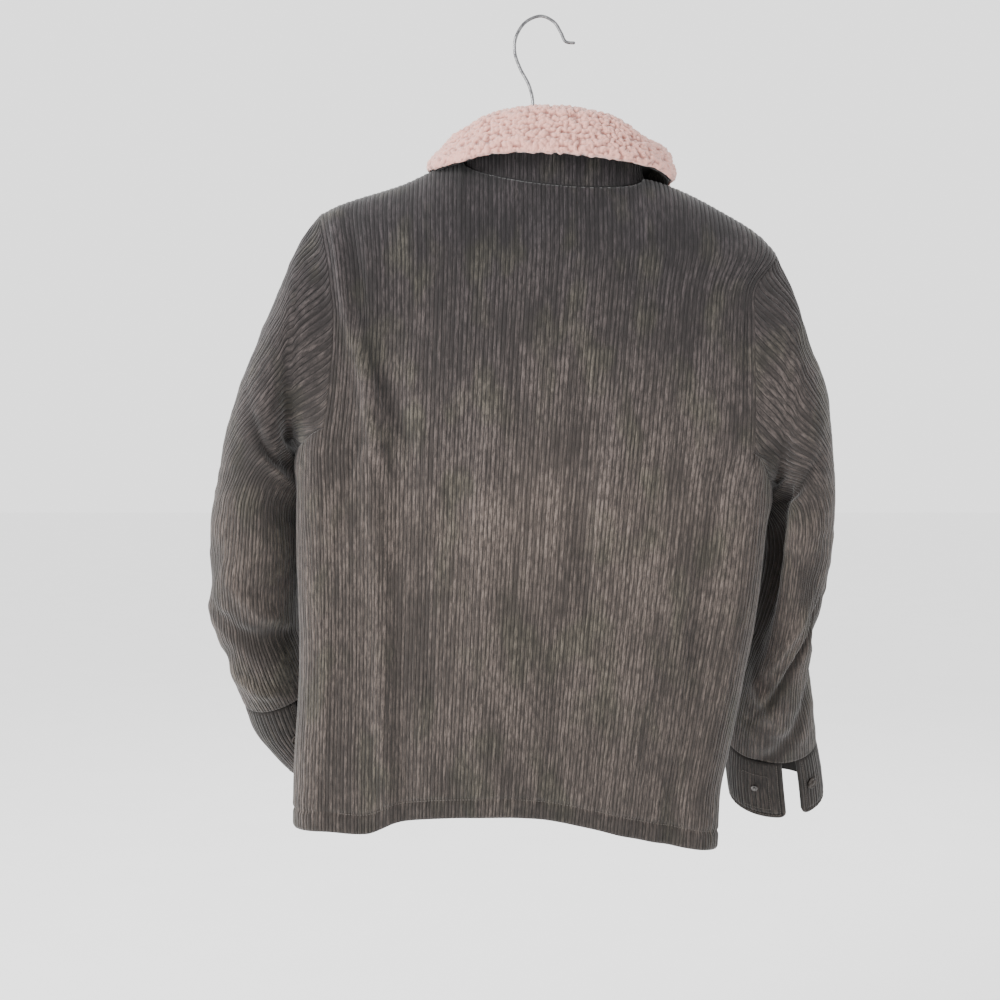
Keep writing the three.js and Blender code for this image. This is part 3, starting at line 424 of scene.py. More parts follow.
def ripple(points, size, seed):
    """Smooth noise from -1 to 1: random numbers on a cubic lattice, eased from one to the next."""
    lattice = np.random.default_rng(seed).uniform(-1, 1, (LATTICE,) * 3)
    at = points / size
    low = np.floor(at).astype(int)
    t = at - low
    t = t * t * (3 - 2 * t)
    total = 0.0
    for dx in (0, 1):
        for dy in (0, 1):
            for dz in (0, 1):
                weight = np.where(dx, t[..., 0], 1 - t[..., 0])
                weight = weight * np.where(dy, t[..., 1], 1 - t[..., 1])
                weight = weight * np.where(dz, t[..., 2], 1 - t[..., 2])
                corner = (low + (dx, dy, dz)) % LATTICE
                total = total + weight * lattice[corner[..., 0], corner[..., 1], corner[..., 2]]
    return total


body = {key: curve(BODY["z"], BODY[key]) for key in BODY if key != "z"}
shoulder_line = curve(SHOULDER["x"], SHOULDER["z"])
hem_line = {side: curve(HEM[side + "_s"], HEM[side + "_z"]) for side in ("back", "front")}
NECK_ENDS = [float(shoulder_line(NECK_X + end * NECK_HALF)) for end in (-1, 1)]


def across_body(s, z):
    """Straight leaning wales at equal steps of s. Near an armhole they bend with it, by the fourth power."""
    down = np.maximum((WALE_TOP - z) / (WALE_TOP - WALE_BOTTOM), 0)
    left = mix(LEFT_WALE[0], LEFT_WALE[1], down)
    right = mix(RIGHT_WALE[0], RIGHT_WALE[1], down)
    bend = np.where(s < 0, body["arm_left"](z) - left, body["arm_right"](z) - right)
    share = s / ARM_SHARE
    return mix(left, right, (share + 1) / 2) + bend * share ** ARM_BEND


def neck_edge(x, side):
    """Half an oval seen from above, lowered by the same share: y, z and how far inward of the neck's ends."""
    across = np.clip((x - NECK_X) / NECK_HALF, -1, 1)
    inward = np.sqrt(1 - across * across)
    chord = mix(NECK_ENDS[0], NECK_ENDS[1], (across + 1) / 2)
    if side == "back":
        y = SHOULDER_Y - (NECK_BACK["depth"] + SHOULDER_Y) * inward
        return y, chord - NECK_BACK["drop"] * inward, inward
    deep = (NECK_FRONT["depth"] - SHOULDER_Y) * inward ** FRONT_SCOOP["depth"]
    return SHOULDER_Y + deep, chord - NECK_FRONT["drop"] * inward ** FRONT_SCOOP["drop"], inward


def top_edge(s, side):
    """The shoulder seam above a column, or the neck's edge between its two ends."""
    x = across_body(s, WALE_TOP)
    for _ in range(TOP_ROUNDS):
        x = across_body(s, shoulder_line(x))
    in_neck = np.abs(x - NECK_X) < NECK_HALF
    y, z, inward = neck_edge(x, side)
    z = np.where(in_neck, z, shoulder_line(x))
    return np.where(in_neck, y, SHOULDER_Y), z, np.where(in_neck, inward, 0)


def lower_top(s):
    """Where a column's lower part ends: level with the notches, and down the armhole's curve at the sides."""
    level = mix(NOTCH[0], NOTCH[1], (np.clip(s / ARM_SHARE, -1, 1) + 1) / 2)
    beyond = np.clip((np.abs(s) - ARM_SHARE) / (1 - ARM_SHARE), 0, 1)
    drop = np.where(s < 0, NOTCH[0] - UNDERARM[0], NOTCH[1] - UNDERARM[1])
    return level - drop * np.sin(beyond * np.pi / 2) ** UNDERARM_SCOOP


def creases(table, x, z):
    """The sum of long bells: each lies along its own line, as deep as the table says at its middle."""
    total = np.zeros_like(x)
    for cx, cz, turn, long, wide, deep in table:
        a = np.radians(turn)
        along = (x - cx) * np.cos(a) + (z - cz) * np.sin(a)
        aside = (z - cz) * np.cos(a) - (x - cx) * np.sin(a)
        total = total + deep * lump(along / long) * lump((aside + 0.08 * along * along / long) / wide)
    return total


def body_point(s, row, side):
    """A point of the body: rows 0 to 1 rise from the hem to the armhole, rows 1 to 2 on to the shoulder.

    Its depth is the table's, less towards the sides, plus the folds. Past the armhole's line the panel turns
    through a quarter oval to the side seam, and near the top it rounds in to the shoulder or the neck.
    """
    top_y, top_z, in_neck = top_edge(s, side)
    notch = lower_top(s)
    z = np.where(row <= 1, mix(hem_line[side](s), notch, row), mix(notch, top_z, row - 1))
    sign = -1 if side == "back" else 1
    middle = np.clip(1 - (s / ARM_SHARE) ** 2, 0, 1)
    depth = body[side](z) * mix(SIDE_DEPTH, 1, middle * middle)
    for place, lean, top, bottom, wide, deep in FOLDS[side]:
        down = (top - z) / (top - bottom)
        fade = np.sin(np.clip(down / FOLD_FADE, 0, 1) * np.pi / 2)
        depth = depth + deep * fade * lump((s - place - lean * down) / wide)
    beyond = np.clip((np.abs(s) - ARM_SHARE) / (1 - ARM_SHARE), 0, 1)
    arm = np.where(s < 0, body["arm_left"](z), body["arm_right"](z))
    edge = np.where(s < 0, body["side_left"](z), body["side_right"](z))
    turn = beyond * np.pi / 2
    x = np.where(beyond > 0, mix(arm, edge, np.sin(turn)), across_body(s, z))
    down = np.clip((top_z - z) / SHOULDER_DROP, 0, 1)
    over = np.sqrt(1 - (1 - down) ** 2)
    below = 1 - (1 - down) ** 2
    rounded = mix(top_y + sign * SEAM / 2, sign * depth, mix(over, below, in_neck))
    y = np.where(row <= 1, sign * depth, rounded)
    y = np.where(beyond > 0, sign * (SEAM / 2 + depth * np.cos(turn)), y)
    return np.stack([x, y, z], axis=-1)


def outward(surface, u, v, du, dv):
    """The direction out of a surface: the cross product of its two tangents, from small steps each way."""
    along = surface(u + du, v) - surface(u - du, v)
    up = surface(u, v + dv) - surface(u, v - dv)
    return unit(np.cross(along, up))


def body_outward(s, row, side):
    """Out of the panel. At the side seam it is level, and at the shoulder seam it keeps in the seam."""
    step, rise = 0.002, 0.004
    around = 1 if side == "back" else -1
    inset = np.clip(row, rise, 2 - rise)
    held = np.where(row > 1, np.clip(s, step - ARM_SHARE, ARM_SHARE - step), s)
    n = outward(lambda u, v: body_point(u, v, side), held, inset, step * around, rise)
    n = np.where((np.abs(s) > 0.999)[..., None], np.stack([np.sign(s), 0 * s, 0 * s], -1), n)
    keep = np.where(row > 1.999, top_edge(s, side)[2], 1.0)
    return unit(n * np.stack([0 * keep + 1, keep, 0 * keep + 1], -1))


def quads(ids):
    """The faces between neighbouring rows and columns of vertex numbers, but for those missing a corner."""
    faces = np.stack([ids[:-1, :-1], ids[:-1, 1:], ids[1:, 1:], ids[1:, :-1]], -1).reshape(-1, 4)
    return faces[(faces >= 0).all(1)]


def rim(outer, inner):
    """Triangles between a fine edge and a coarse one: each fine step meets the nearer coarse vertex."""
    step = (len(outer) - 1) // (len(inner) - 1)
    fine = np.arange(len(outer) - 1)
    apex = inner[fine // step + (fine % step >= step // 2)]
    coarse = np.arange(len(inner) - 1)
    return np.concatenate([
        np.stack([outer[fine + 1], outer[fine], apex], -1),
        np.stack([inner[coarse], inner[coarse + 1], outer[coarse * step + step // 2]], -1),
    ])


def edges(ids, turn, first, last):
    """The edge of a grid, followed round its outside. Above turn it has only the columns first to last."""
    right, left = [ids[:, -1]], [ids[::-1, 0]]
    if last < ids.shape[1] - 1:
        right = [ids[:turn + 1, -1], ids[turn, last:][::-1], ids[turn:, last]]
    if first:
        left = [ids[turn:, first][::-1], ids[turn, :first + 1][::-1], ids[:turn + 1, 0][::-1]]
    return [ids[0], *right, ids[-1, first:last + 1][::-1], *left]


def make_piece(name, points, faces, finishes, finish_of=None, cloth=None, sharp=75):
    """Puts points in millimetres and faces into a mesh in metres, smooth but for the edges that are sharp."""
    mesh = bpy.data.meshes.new(name)
    mesh.from_pydata((points * MM).tolist(), [], [face for part in faces for face in part.tolist()])
    for finish in finishes:
        mesh.materials.append(finish)
    if finish_of is not None:
        mesh.polygons.foreach_set("material_index", np.asarray(finish_of, np.int32))
    if cloth is not None:
        attribute = mesh.attributes.new("cloth", "FLOAT_VECTOR", "POINT")
        attribute.data.foreach_set("vector", np.asarray(cloth, np.float32).ravel())
    mesh.shade_smooth()
    mesh.set_sharp_from_angle(angle=np.radians(sharp))
    made = bpy.data.objects.new(name, mesh)
    bpy.context.scene.collection.objects.link(made)
    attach(made, "root")
    return made


def make_wall(name, outer, inner, cloth, steps, part=None, finishes=(CORDUROY, LINING), closed=False,
              sharp=75):
    """A thin closed wall: a fine outer grid, a coarser inner one from the same rows and columns, and rims.

    steps are how many fine rows and columns make a coarse one. part is the last row of full width and the
    first and last column above it. closed joins the last column to the first.
    """
    rows, columns = outer.shape[:2]
    turn, first, last = part or (rows - 1, 0, columns - 1)
    here = np.ones((rows, columns), bool)
    here[turn + 1:, :first] = False
    here[turn + 1:, last + 1:] = False
    ids = np.where(here, np.cumsum(here).reshape(here.shape) - 1, -1)
    coarse = np.s_[::steps[0], ::steps[1]]
    there = here[coarse]
    inner_ids = np.where(there, here.sum() + np.cumsum(there).reshape(there.shape) - 1, -1)
    points = np.concatenate([outer[here], inner[coarse][there]])
    marks = np.concatenate([cloth[here], cloth[coarse][there] * (1, 1, 0)])
    if closed:
        ids = np.concatenate([ids, ids[:, :1]], 1)
        inner_ids = np.concatenate([inner_ids, inner_ids[:, :1]], 1)
        rims = [rim(ids[0], inner_ids[0]), rim(ids[-1, ::-1], inner_ids[-1, ::-1])]
    else:
        around = edges(ids, turn, first, last)
        inside = edges(inner_ids, turn // steps[0], first // steps[1], last // steps[1])
        rims = [rim(a, b) for a, b in zip(around, inside)]
    outside = quads(ids)
    within = quads(inner_ids)[:, ::-1]
    border = np.concatenate(rims)
    finish_of = np.repeat([0, 1, 0], [len(outside), len(within), len(border)])
    return make_piece(name, points, [outside, within, border], finishes, finish_of, marks, sharp)


def repeats_between(first, last):
    """Places of the columns, in repeats of the wales, and the cloth's height at each as a share of a wale."""
    whole = np.arange(first, last)
    places = (whole[:, None] + PLACES[None, :]).ravel()
    return np.append(places, last), np.append(np.tile(HEIGHTS, len(whole)), 0.0)


HEM_ROW = 0.05               # the stitched line above the hem
HEM_GROOVE = 1.6
HEM_LINE, HEM_PUCKER = 0.006, 0.03      # half widths of the line and of the puckers beside it, in rows
LOWER_TALL, UPPER_TALL = 400, 250       # about how tall the rows 0 to 1 and 1 to 2 are
FAR = 999                    # farther from a seam than any place
SOFT_EDGE = 12               # creases fade within this of a seam
BULGE_DROP, BULGE_HALF, BULGE_FROM = 14, 18, 0.86
LOWER_ROWS = np.concatenate([
    [0, 0.002, 0.005, 0.009, 0.015, 0.023, 0.031, 0.037, 0.042, 0.046],
    [0.05, 0.054, 0.058, 0.064, 0.072, 0.082],
    np.linspace(0.094, 0.985, 54),
    [0.991, 0.996, 1.0],
])
UPPER_ROWS = np.concatenate([np.linspace(1.022, 1.93, 30), [1.95, 1.965, 1.978, 1.987, 1.994, 2.0]])
ROWS = np.concatenate([LOWER_ROWS, UPPER_ROWS])
TURN_ROW = len(LOWER_ROWS) - 1
ROW_STEP = 4


def lowest(lift, rows, columns, closed=False):
    """The lowest lift within some rows and columns, so that a coarse inner face stays inside the outer."""
    for axis, reach in ((0, rows), (1, columns)):
        around = [(reach, reach) if k == axis else (0, 0) for k in (0, 1)]
        wider = np.pad(lift, around, "wrap" if closed and axis else "edge")
        size = lift.shape[axis]
        shifts = np.linspace(0, 2 * reach, 5).astype(int)
        lift = np.min([np.take(wider, range(shift, shift + size), axis) for shift in shifts], axis=0)
    return lift


def way(points, axis):
    """The length of each grid line from its first point, measured along one direction of the grid."""
    steps = np.linalg.norm(np.diff(points, axis=axis), axis=-1)
    start = np.zeros_like(np.take(steps, [0], axis))
    return np.cumsum(np.concatenate([start, steps], axis), axis)


def seam_fall(gap, wide=1.5, deep=0.35):
    """How far cloth rolls in beside a seam, from its distance to the seam in millimetres."""
    return deep * lump(gap / wide)


def painted_fold_light(relief):
    """Painted light on raised folds and painted shade in sunken ones, from how far folds raise the cloth in
    millimetres.
    """
    return 1 + np.clip(relief / 4.5, -0.6, 0.7)


def panel(name, side, first, last, sink=None, placket=None):
    """A body panel between two repeats of the wales, at its thickness, with hem, seams, creases and wales."""
    places, wales = repeats_between(first, last)
    s = mix(-1, 1, places / REPEATS)
    if side == "front":
        s, wales, places = s[::-1], wales[::-1], places[::-1]
    row, across = np.meshgrid(ROWS, s, indexing="ij")
    base = body_point(across, row, side)
    n = body_outward(across, row, side)
    x, z = base[..., 0], base[..., 2]
    at_hem = lump((row - HEM_ROW) / HEM_LINE)
    at_edge = row * LOWER_TALL
    gap_side = (1 - np.abs(across)) * REPEATS * REPEAT / 2
    gap_arm = np.where(row >= 1, (ARM_SHARE - np.abs(across)) * REPEATS * REPEAT / 2, FAR)
    gap_under = np.where((np.abs(across) >= ARM_SHARE) & (row <= 1), (1 - row) * LOWER_TALL, FAR)
    gap_top = (2 - row) * UPPER_TALL
    gap = np.minimum(np.minimum(gap_side, gap_under), np.minimum(gap_arm, gap_top))
    sides = (gap_side > 0.1) & (gap > 0.1)
    wave = ripple(base, 46.0, 11) * 1.4 + ripple(base * (1, 1, 0.5), 19.0, 12) * 0.6
    pucker = ripple(base * (1, 1, 1.2), 9.0, 13) * 0.8 * lump((row - HEM_ROW) / HEM_PUCKER)
    soft = np.clip(gap / SOFT_EDGE, 0, 1)
    relief = (creases(CREASES[side], x, z) + wave + pucker) * soft
    under = np.where(x < 0, UNDERARM[0], UNDERARM[1]) - BULGE_DROP
    aside = np.clip((np.abs(across) - BULGE_FROM) / 0.1, 0, 1)
    relief = relief + UNDERARM_BULGE * lump((z - under) / BULGE_HALF) * aside
    lift = relief - HEM_GROOVE * at_hem - seam_fall(gap) * sides - 0.9 * lump(at_edge / 1.6)
    height = WALE * wales[None, :] * np.clip(gap / 1.0, 0, 1) * (0.35 + 0.65 * np.clip(at_edge / 3, 0, 1))
    lap = 0 * places if sink is None else sink(places)
    if placket is not None:
        stitched = lump((places - placket) / 0.12)
        lift = lift - 0.9 * stitched[None, :]
        height = height * (1 - 0.6 * stitched[None, :])
    outer = base + n * (lift + height - lap[None, :])[..., None]
    within = np.clip(lowest(relief, ROW_STEP, PER_REPEAT), -14, 1)
    inner = base + n * (within - WALL - lap[None, :])[..., None]
    # Below the hem's stitched line the wales are painted darker, as shade under the overhanging cloth.
    hem_shade = np.clip((HEM_ROW - row) * 150, 0, 1)
    # The wales' heights carry painted light on raised folds and painted shade in sunken folds.
    high = wales * painted_fold_light(relief - 2.2 * hem_shade)
    cloth = np.stack([np.broadcast_to(places * REPEAT, x.shape), way(base, 0), high], -1)
    arms = [round((side_s * ARM_SHARE + 1) / 2 * REPEATS) for side_s in (-1, 1)]
    low, high = (max(arm, first) if arm < REPEATS / 2 else min(arm, last) for arm in arms)
    low, high = (low - first) * PER_REPEAT, (high - first) * PER_REPEAT
    if side == "front":
        low, high = len(s) - 1 - high, len(s) - 1 - low
    made = make_wall(name, outer, inner, cloth, (ROW_STEP, PER_REPEAT), (TURN_ROW, low, high))
    return made


MIDDLE_REPEAT = REPEATS // 2
LAP_REPEATS = 2              # each front passes the middle by this much
LAP = 4.8                    # and the right one sinks by this much beneath the left one


def sunk(places):
    """How far the right front sinks: all of the lap at its edge, and evenly less over four repeats."""
    return LAP * np.clip((MIDDLE_REPEAT + 3 * LAP_REPEATS - places) / (2 * LAP_REPEATS), 0, 1)


back = panel("back_cloth", "back", 0, REPEATS)
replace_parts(back, "back")
front_left = panel("front_left_cloth", "front", 0, MIDDLE_REPEAT + LAP_REPEATS,
                   placket=MIDDLE_REPEAT - LAP_REPEATS)
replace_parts(front_left, "front_left")
front_right = panel("front_right_cloth", "front", MIDDLE_REPEAT - LAP_REPEATS, REPEATS,
                    sink=sunk)
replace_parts(front_right, "front_right")


# The sleeves: tubes of corduroy and fleece, set into the armholes and bent forward at the elbow.
# Their wales start across the armhole's seam and turn down towards the cuff.
SLEEVE_REPEATS = 40
SLEEVE_WALL = 2.6
ARMHOLE_GAP = 0.05
SLEEVE_ROW_STEP = 5
SLEEVE_SOFT_EDGE = 14
TURN_STEP, RING_STEP = 0.004, 0.02      # small steps round a tube and along it, for its directions
BACK_STEPS, UNDER_STEPS = 40, 16        # points on an armhole's edge, down its side and below it
RING_KEYS = ("out_x", "out_z", "in_x", "in_z", "mid_y", "half", "pitch")
SLEEVE_RINGS = {
    "left": [
        (-246, -226, -258, -436, 2, 56, 0),
        (-269, -277, -266, -440, 4, 61, 0),
        (-300, -348, -266, -452, 8, 65, 0),
        (-328, -420, -258, -474, 14, 66, 0),
        (-342, -486, -255, -500, 20, 66, 2),
        (-349, -540, -255, -540, 25, 64, 6),
        (-356, -603, -258, -583, 33, 60, 12),
        (-347, -644, -261, -620, 47, 57, 21),
        (-335, -684, -255, -658, 63, 51, 28),
        (-324, -720, -244, -694, 80, 42, 33),
    ],
    "right": [
        (258, -272, 245, -479, 2, 56, 0),
        (278, -328, 251, -482, 6, 60, 0),
        (299, -386, 251, -490, 10, 62, 0),
        (308, -446, 246, -506, 16, 62, 0),
        (310, -500, 240, -528, 21, 62, 4),
        (308, -558, 235, -565, 27, 60, 9),
        (301, -618, 230, -616, 38, 56, 16),
        (294, -676, 222, -672, 56, 51, 26),
        (303, -734, 214, -728, 83, 45, 32),
        (311, -773, 213, -772, 106, 38, 36),
    ],
}
# Creases: ring, turn from the outside by way of the back, slant, half widths along and round, depth.
SLEEVE_CREASES = {
    "left": [
        (3.1, 0.5, 0.0, 0.7, 0.14, 9),
        (4.3, 0.5, 0.0, 0.7, 0.10, 3),
        (4.0, 0.6, 0.0, 0.9, 0.06, 17),
        (3.6, 0.42, 1.0, 0.3, 0.04, -7),
        (3.7, 0.30, 2.0, 0.22, 0.12, -6),
        (4.2, 0.36, 3.0, 0.16, 0.08, 4),
        (4.6, 0.22, -2.0, 0.25, 0.12, -3.5),
        (5.3, 0.38, 1.0, 0.5, 0.08, -4),
        (5.8, 0.12, 3.0, 0.35, 0.10, 3),
        (6.5, 0.07, -4, 0.4, 0.12, -6),
        (7.1, 0.27, 6, 0.22, 0.12, 4),
        (7.6, 0.20, 5, 0.3, 0.16, -6.5),
        (8.1, 0.36, 3, 0.25, 0.10, -4),
        (8.5, 0.06, -4, 0.3, 0.12, -5.5),
        (9.2, 0.22, 5, 0.3, 0.14, 3.5),
        (6.8, 0.72, 4, 0.5, 0.2, -6),
        (8.2, 0.66, -4, 0.5, 0.2, -5),
    ],
    "right": [
        (3.3, 0.5, 0.0, 0.8, 0.12, 7),
        (4.3, 0.6, 0.0, 1.0, 0.06, 16),
        (3.7, 0.42, 1.0, 0.3, 0.05, -12),
        (4.0, 0.34, 2.0, 0.22, 0.10, -6),
        (4.35, 0.30, -3.0, 0.16, 0.08, 3.5),
        (5.9, 0.43, 0.0, 1.6, 0.065, -24),
        (5.8, 0.345, 0.0, 1.5, 0.04, 3),
        (5.2, 0.22, 2, 0.4, 0.12, 3.5),
        (6.4, 0.15, -4.0, 0.3, 0.14, -3.5),
        (7.2, 0.08, -5, 0.35, 0.12, -6),
        (7.35, 0.27, 8, 0.18, 0.10, 5),
        (7.75, 0.22, 8, 0.16, 0.12, -7.5),
        (8.5, 0.30, -5, 0.22, 0.12, 3.5),
        (8.9, 0.16, 7, 0.3, 0.14, -6),
        (6.8, 0.72, 4, 0.5, 0.2, -6),
        (8.2, 0.66, -4, 0.5, 0.2, -5),
    ],
}
# How far the wales have turned towards the outside, in turns, by ring.
DRIFT = {"ring": [0, 1, 2, 3, 4, 4.7, 5.4, 10], "turns": [0, 0, 0.015, 0.06, 0.15, 0.21, 0.23, 0.23]}
# By turn, how much higher a wale meets the armhole than it crosses the first oval: it runs down and outwards.
RISE = {"turn": [0, 0.25, 0.4, 0.5], "left": [30, 40, 26, -10], "right": [30, 42, 26, -8]}


def coefficients(rings):
    """Each ring as an oval: its middle, its reach towards the outside and its depth towards the back."""
    t = {key: np.array([ring[i] for ring in rings], float) for i, key in enumerate(RING_KEYS)}
    zero = 0 * t["out_x"]
    tip = np.radians(t["pitch"])
    middle = np.stack([(t["out_x"] + t["in_x"]) / 2, t["mid_y"], (t["out_z"] + t["in_z"]) / 2], -1)
    reach = np.stack([(t["out_x"] - t["in_x"]) / 2, zero, (t["out_z"] - t["in_z"]) / 2], -1)
    deep = np.stack([zero, -np.cos(tip) * t["half"], -np.sin(tip) * t["half"]], -1)
    return middle, reach, deep


def through_rings(rings, turn, place, start=None):
    """A point of a tube: the ovals' points at a turn, joined by a Catmull-Rom curve through four of them.

    With start, ring 0 is the line that it gives, and the table's rings are the ones after it.
    """
    middle, reach, deep = coefficients(rings)
    shift = 0 if start is None else 1
    last = len(rings) - 1 + shift
    i = np.clip(np.floor(place), 0, last - 1).astype(int)
    t = place - i
    weights = (
        (2 * t * t - t - t ** 3) / 2,
        (2 - 5 * t * t + 3 * t ** 3) / 2,
        (t + 4 * t * t - 3 * t ** 3) / 2,
        (t ** 3 - t * t) / 2,
    )
    angle = turn * 2 * np.pi
    cos, sin = np.cos(angle)[..., None], np.sin(angle)[..., None]
    line = None if start is None else start(turn % 1)
    total = 0.0
    for k, weight in zip((-1, 0, 1, 2), weights):
        at = np.clip(i + k, 0, last)
        ring = np.maximum(at - shift, 0)
        point = middle[ring] + reach[ring] * cos + deep[ring] * sin
        if start is not None:
            point = np.where((at == 0)[..., None], line, point)
        total = total + weight[..., None] * point
    return total


def armhole_line(left, move):
    """The armhole's edge by turn: from the shoulder down the back to the side seam, and up the front."""
    sign = -1 if left else 1
    down = np.linspace(2, 1, BACK_STEPS)
    beyond = np.linspace(ARM_SHARE, 1, UNDER_STEPS)
    s = sign * np.concatenate([np.full(BACK_STEPS, ARM_SHARE), beyond])
    row = np.concatenate([down, np.ones(UNDER_STEPS)])
    lines = []
    for side in ("back", "front"):
        points = body_point(s, row, side) + body_outward(s, row, side) * move
        length = way(points, 0)
        lines.append((length / length[-1], points))

    def read(turn):
        share = np.where(turn <= 0.5, turn, 1 - turn) * 2
        both = [np.stack([np.interp(share, at, p[:, k]) for k in range(3)], -1) for at, p in lines]
        return np.where((turn <= 0.5)[..., None], both[0], both[1])

    return read


def ring_creases(table, ring, turn):
    """The sum of slanted bells, in rings along the sleeve and in turns round it."""
    total = np.zeros_like(ring)
    for at_ring, at_turn, slant, along_half, round_half, deep in table:
        off = turn - at_turn
        off = off - np.round(off)
        total = total + deep * lump((ring - at_ring - slant * off) / along_half) * lump(off / round_half)
    return total


def wale_starts(rings, line, share, hand):
    """The turn at which each wale meets the armhole: at its oval's height there, raised by the table."""
    down = np.minimum(share, 1 - share)
    middle, reach, _ = coefficients(rings[:1])
    oval = middle + reach * np.cos(down * 2 * np.pi)[:, None]
    want = oval[:, 2] + np.interp(down, RISE["turn"], RISE[hand])
    turns = np.linspace(0, 0.5, 201)
    found = np.interp(-want, -line(turns)[:, 2], turns)
    found = np.where(down < 0.06, mix(down, found, down / 0.06), found)
    found = np.where(down > 0.46, mix(found, down, (down - 0.46) / 0.04), found)
    return np.where(share <= 0.5, found, 1 - found)


def sleeve(name, hand):
    """A sleeve as a closed wall: its first ring stands just off the armhole's edge."""
    left = hand == "left"
    rings = SLEEVE_RINGS[hand]
    edge_out, edge_in = armhole_line(left, 0.0), armhole_line(left, -WALL)
    top, foot = [0, 0.02, 0.05, 0.09, 0.14], [9.85, 9.9, 9.94, 9.98, 10.0]
    places = np.concatenate([top, np.linspace(0.2, 9.8, 146), foot])
    rounds, wales = repeats_between(0, SLEEVE_REPEATS)
    rounds, wales = rounds[:-1], wales[:-1]
    if left:
        rounds = SLEEVE_REPEATS - rounds
    place, around = np.meshgrid(places, rounds / SLEEVE_REPEATS, indexing="ij")
    starts = wale_starts(rings, edge_out, rounds / SLEEVE_REPEATS, hand)
    turn = mix(starts[None, :], around, np.clip(place, 0, 1)) - curve(DRIFT["ring"], DRIFT["turns"])(place)

    def surface(u, v):
        return through_rings(rings, u, v, edge_out)

    inset = np.clip(place, RING_STEP, len(rings) - RING_STEP)
    n = outward(surface, turn, inset, -TURN_STEP if left else TURN_STEP, RING_STEP)
    base = surface(turn, place)
    ahead = unit(surface(turn, np.full_like(place, 0.2)) - surface(turn, np.zeros_like(place)))
    start = (np.clip(1 - place / 0.12, 0, 1) * ARMHOLE_GAP)[..., None] * ahead
    along = way(base, 0)
    gap = np.minimum(along, along[-1] - along)
    soft = np.clip(gap / SLEEVE_SOFT_EDGE, 0, 1)
    wave = ripple(base, 38.0, 21) * 1.6 + ripple(base * (1, 1, 1.8), 17.0, 22) * 0.8
    lift = ring_creases(SLEEVE_CREASES[hand], place, turn) * np.clip(place, 0, 1)
    relief = lift + wave * soft
    lift = relief - seam_fall(gap) * (gap > 0.2)
    height = WALE * wales[None, :] * np.clip(gap / 1.2, 0, 1)
    outer = base + start + n * (lift + height)[..., None]
    depth = edge_in(turn % 1) - edge_out(turn % 1)
    inward = mix(depth, -SLEEVE_WALL * n, np.clip(place / 0.3, 0, 1)[..., None])
    within = lowest(relief, SLEEVE_ROW_STEP, PER_REPEAT, closed=True)
    inner = base + start + inward + n * (within * np.clip(place, 0, 1))[..., None]
    # The wales' heights carry painted light on raised folds and painted shade in sunken folds.
    cloth = np.stack([around * SLEEVE_REPEATS * REPEAT, along, wales * painted_fold_light(relief)], -1)
    made = make_wall(name, outer, inner, cloth, (SLEEVE_ROW_STEP, PER_REPEAT), closed=True)
    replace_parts(made, "sleeve_" + hand)


sleeve("sleeve_left_cloth", "left")
sleeve("sleeve_right_cloth", "right")


# The cuffs: stiff bands of doubled corduroy round the sleeves' ends, each open along a slit.
# Their free ends are rounded and stitched round, and carry a cap on one side and a stud on the other.
CUFF_RINGS = {
    "left": [(-313, -757, -231, -738, 97, 38, 34), (-282, -797, -202, -785, 114, 38, 34)],
    "right": [(320, -806, 214, -806, 122, 38, 36), (326, -840, 220, -841, 138, 39, 36)],
}
CUFF_OPEN = {"left": (0.33, 0.38), "right": (0.17, 0.228)}
CUFF_STEP = 0.014            # the cuff starts this share of the way from the sleeve's end to its first ring
CUFF_ROW_STEP = 4
CUFF_REPEATS = {"left": 30, "right": 34}
CUFF_WALL = 3.2
CUFF_ROUND = 11.0            # radius of the free corners
CUFF_STITCH = 5.5            # the stitched line runs this far inside the edges


def cuff_rings(hand):
    """The cuff's first ring lies just below the sleeve's last one, and the others are the table's."""
    last, rest = np.array(SLEEVE_RINGS[hand][-1], float), CUFF_RINGS[hand]
    return [tuple(mix(last, np.array(rest[0], float), CUFF_STEP)), *rest]


def cuff_surface(hand):
    """The cuff as a function of the turn and the place: the curve through its rings."""
    rings = cuff_rings(hand)
    return lambda turn, place: through_rings(rings, turn, place)


def cuff_outward(hand, turn, place):
    """Out of the cuff: the cross product of its tangents, kept a small step inside its two ends."""
    around = -TURN_STEP if hand == "left" else TURN_STEP
    inset = np.clip(place, RING_STEP, 2 - RING_STEP)
    return outward(cuff_surface(hand), turn, inset, around, RING_STEP)


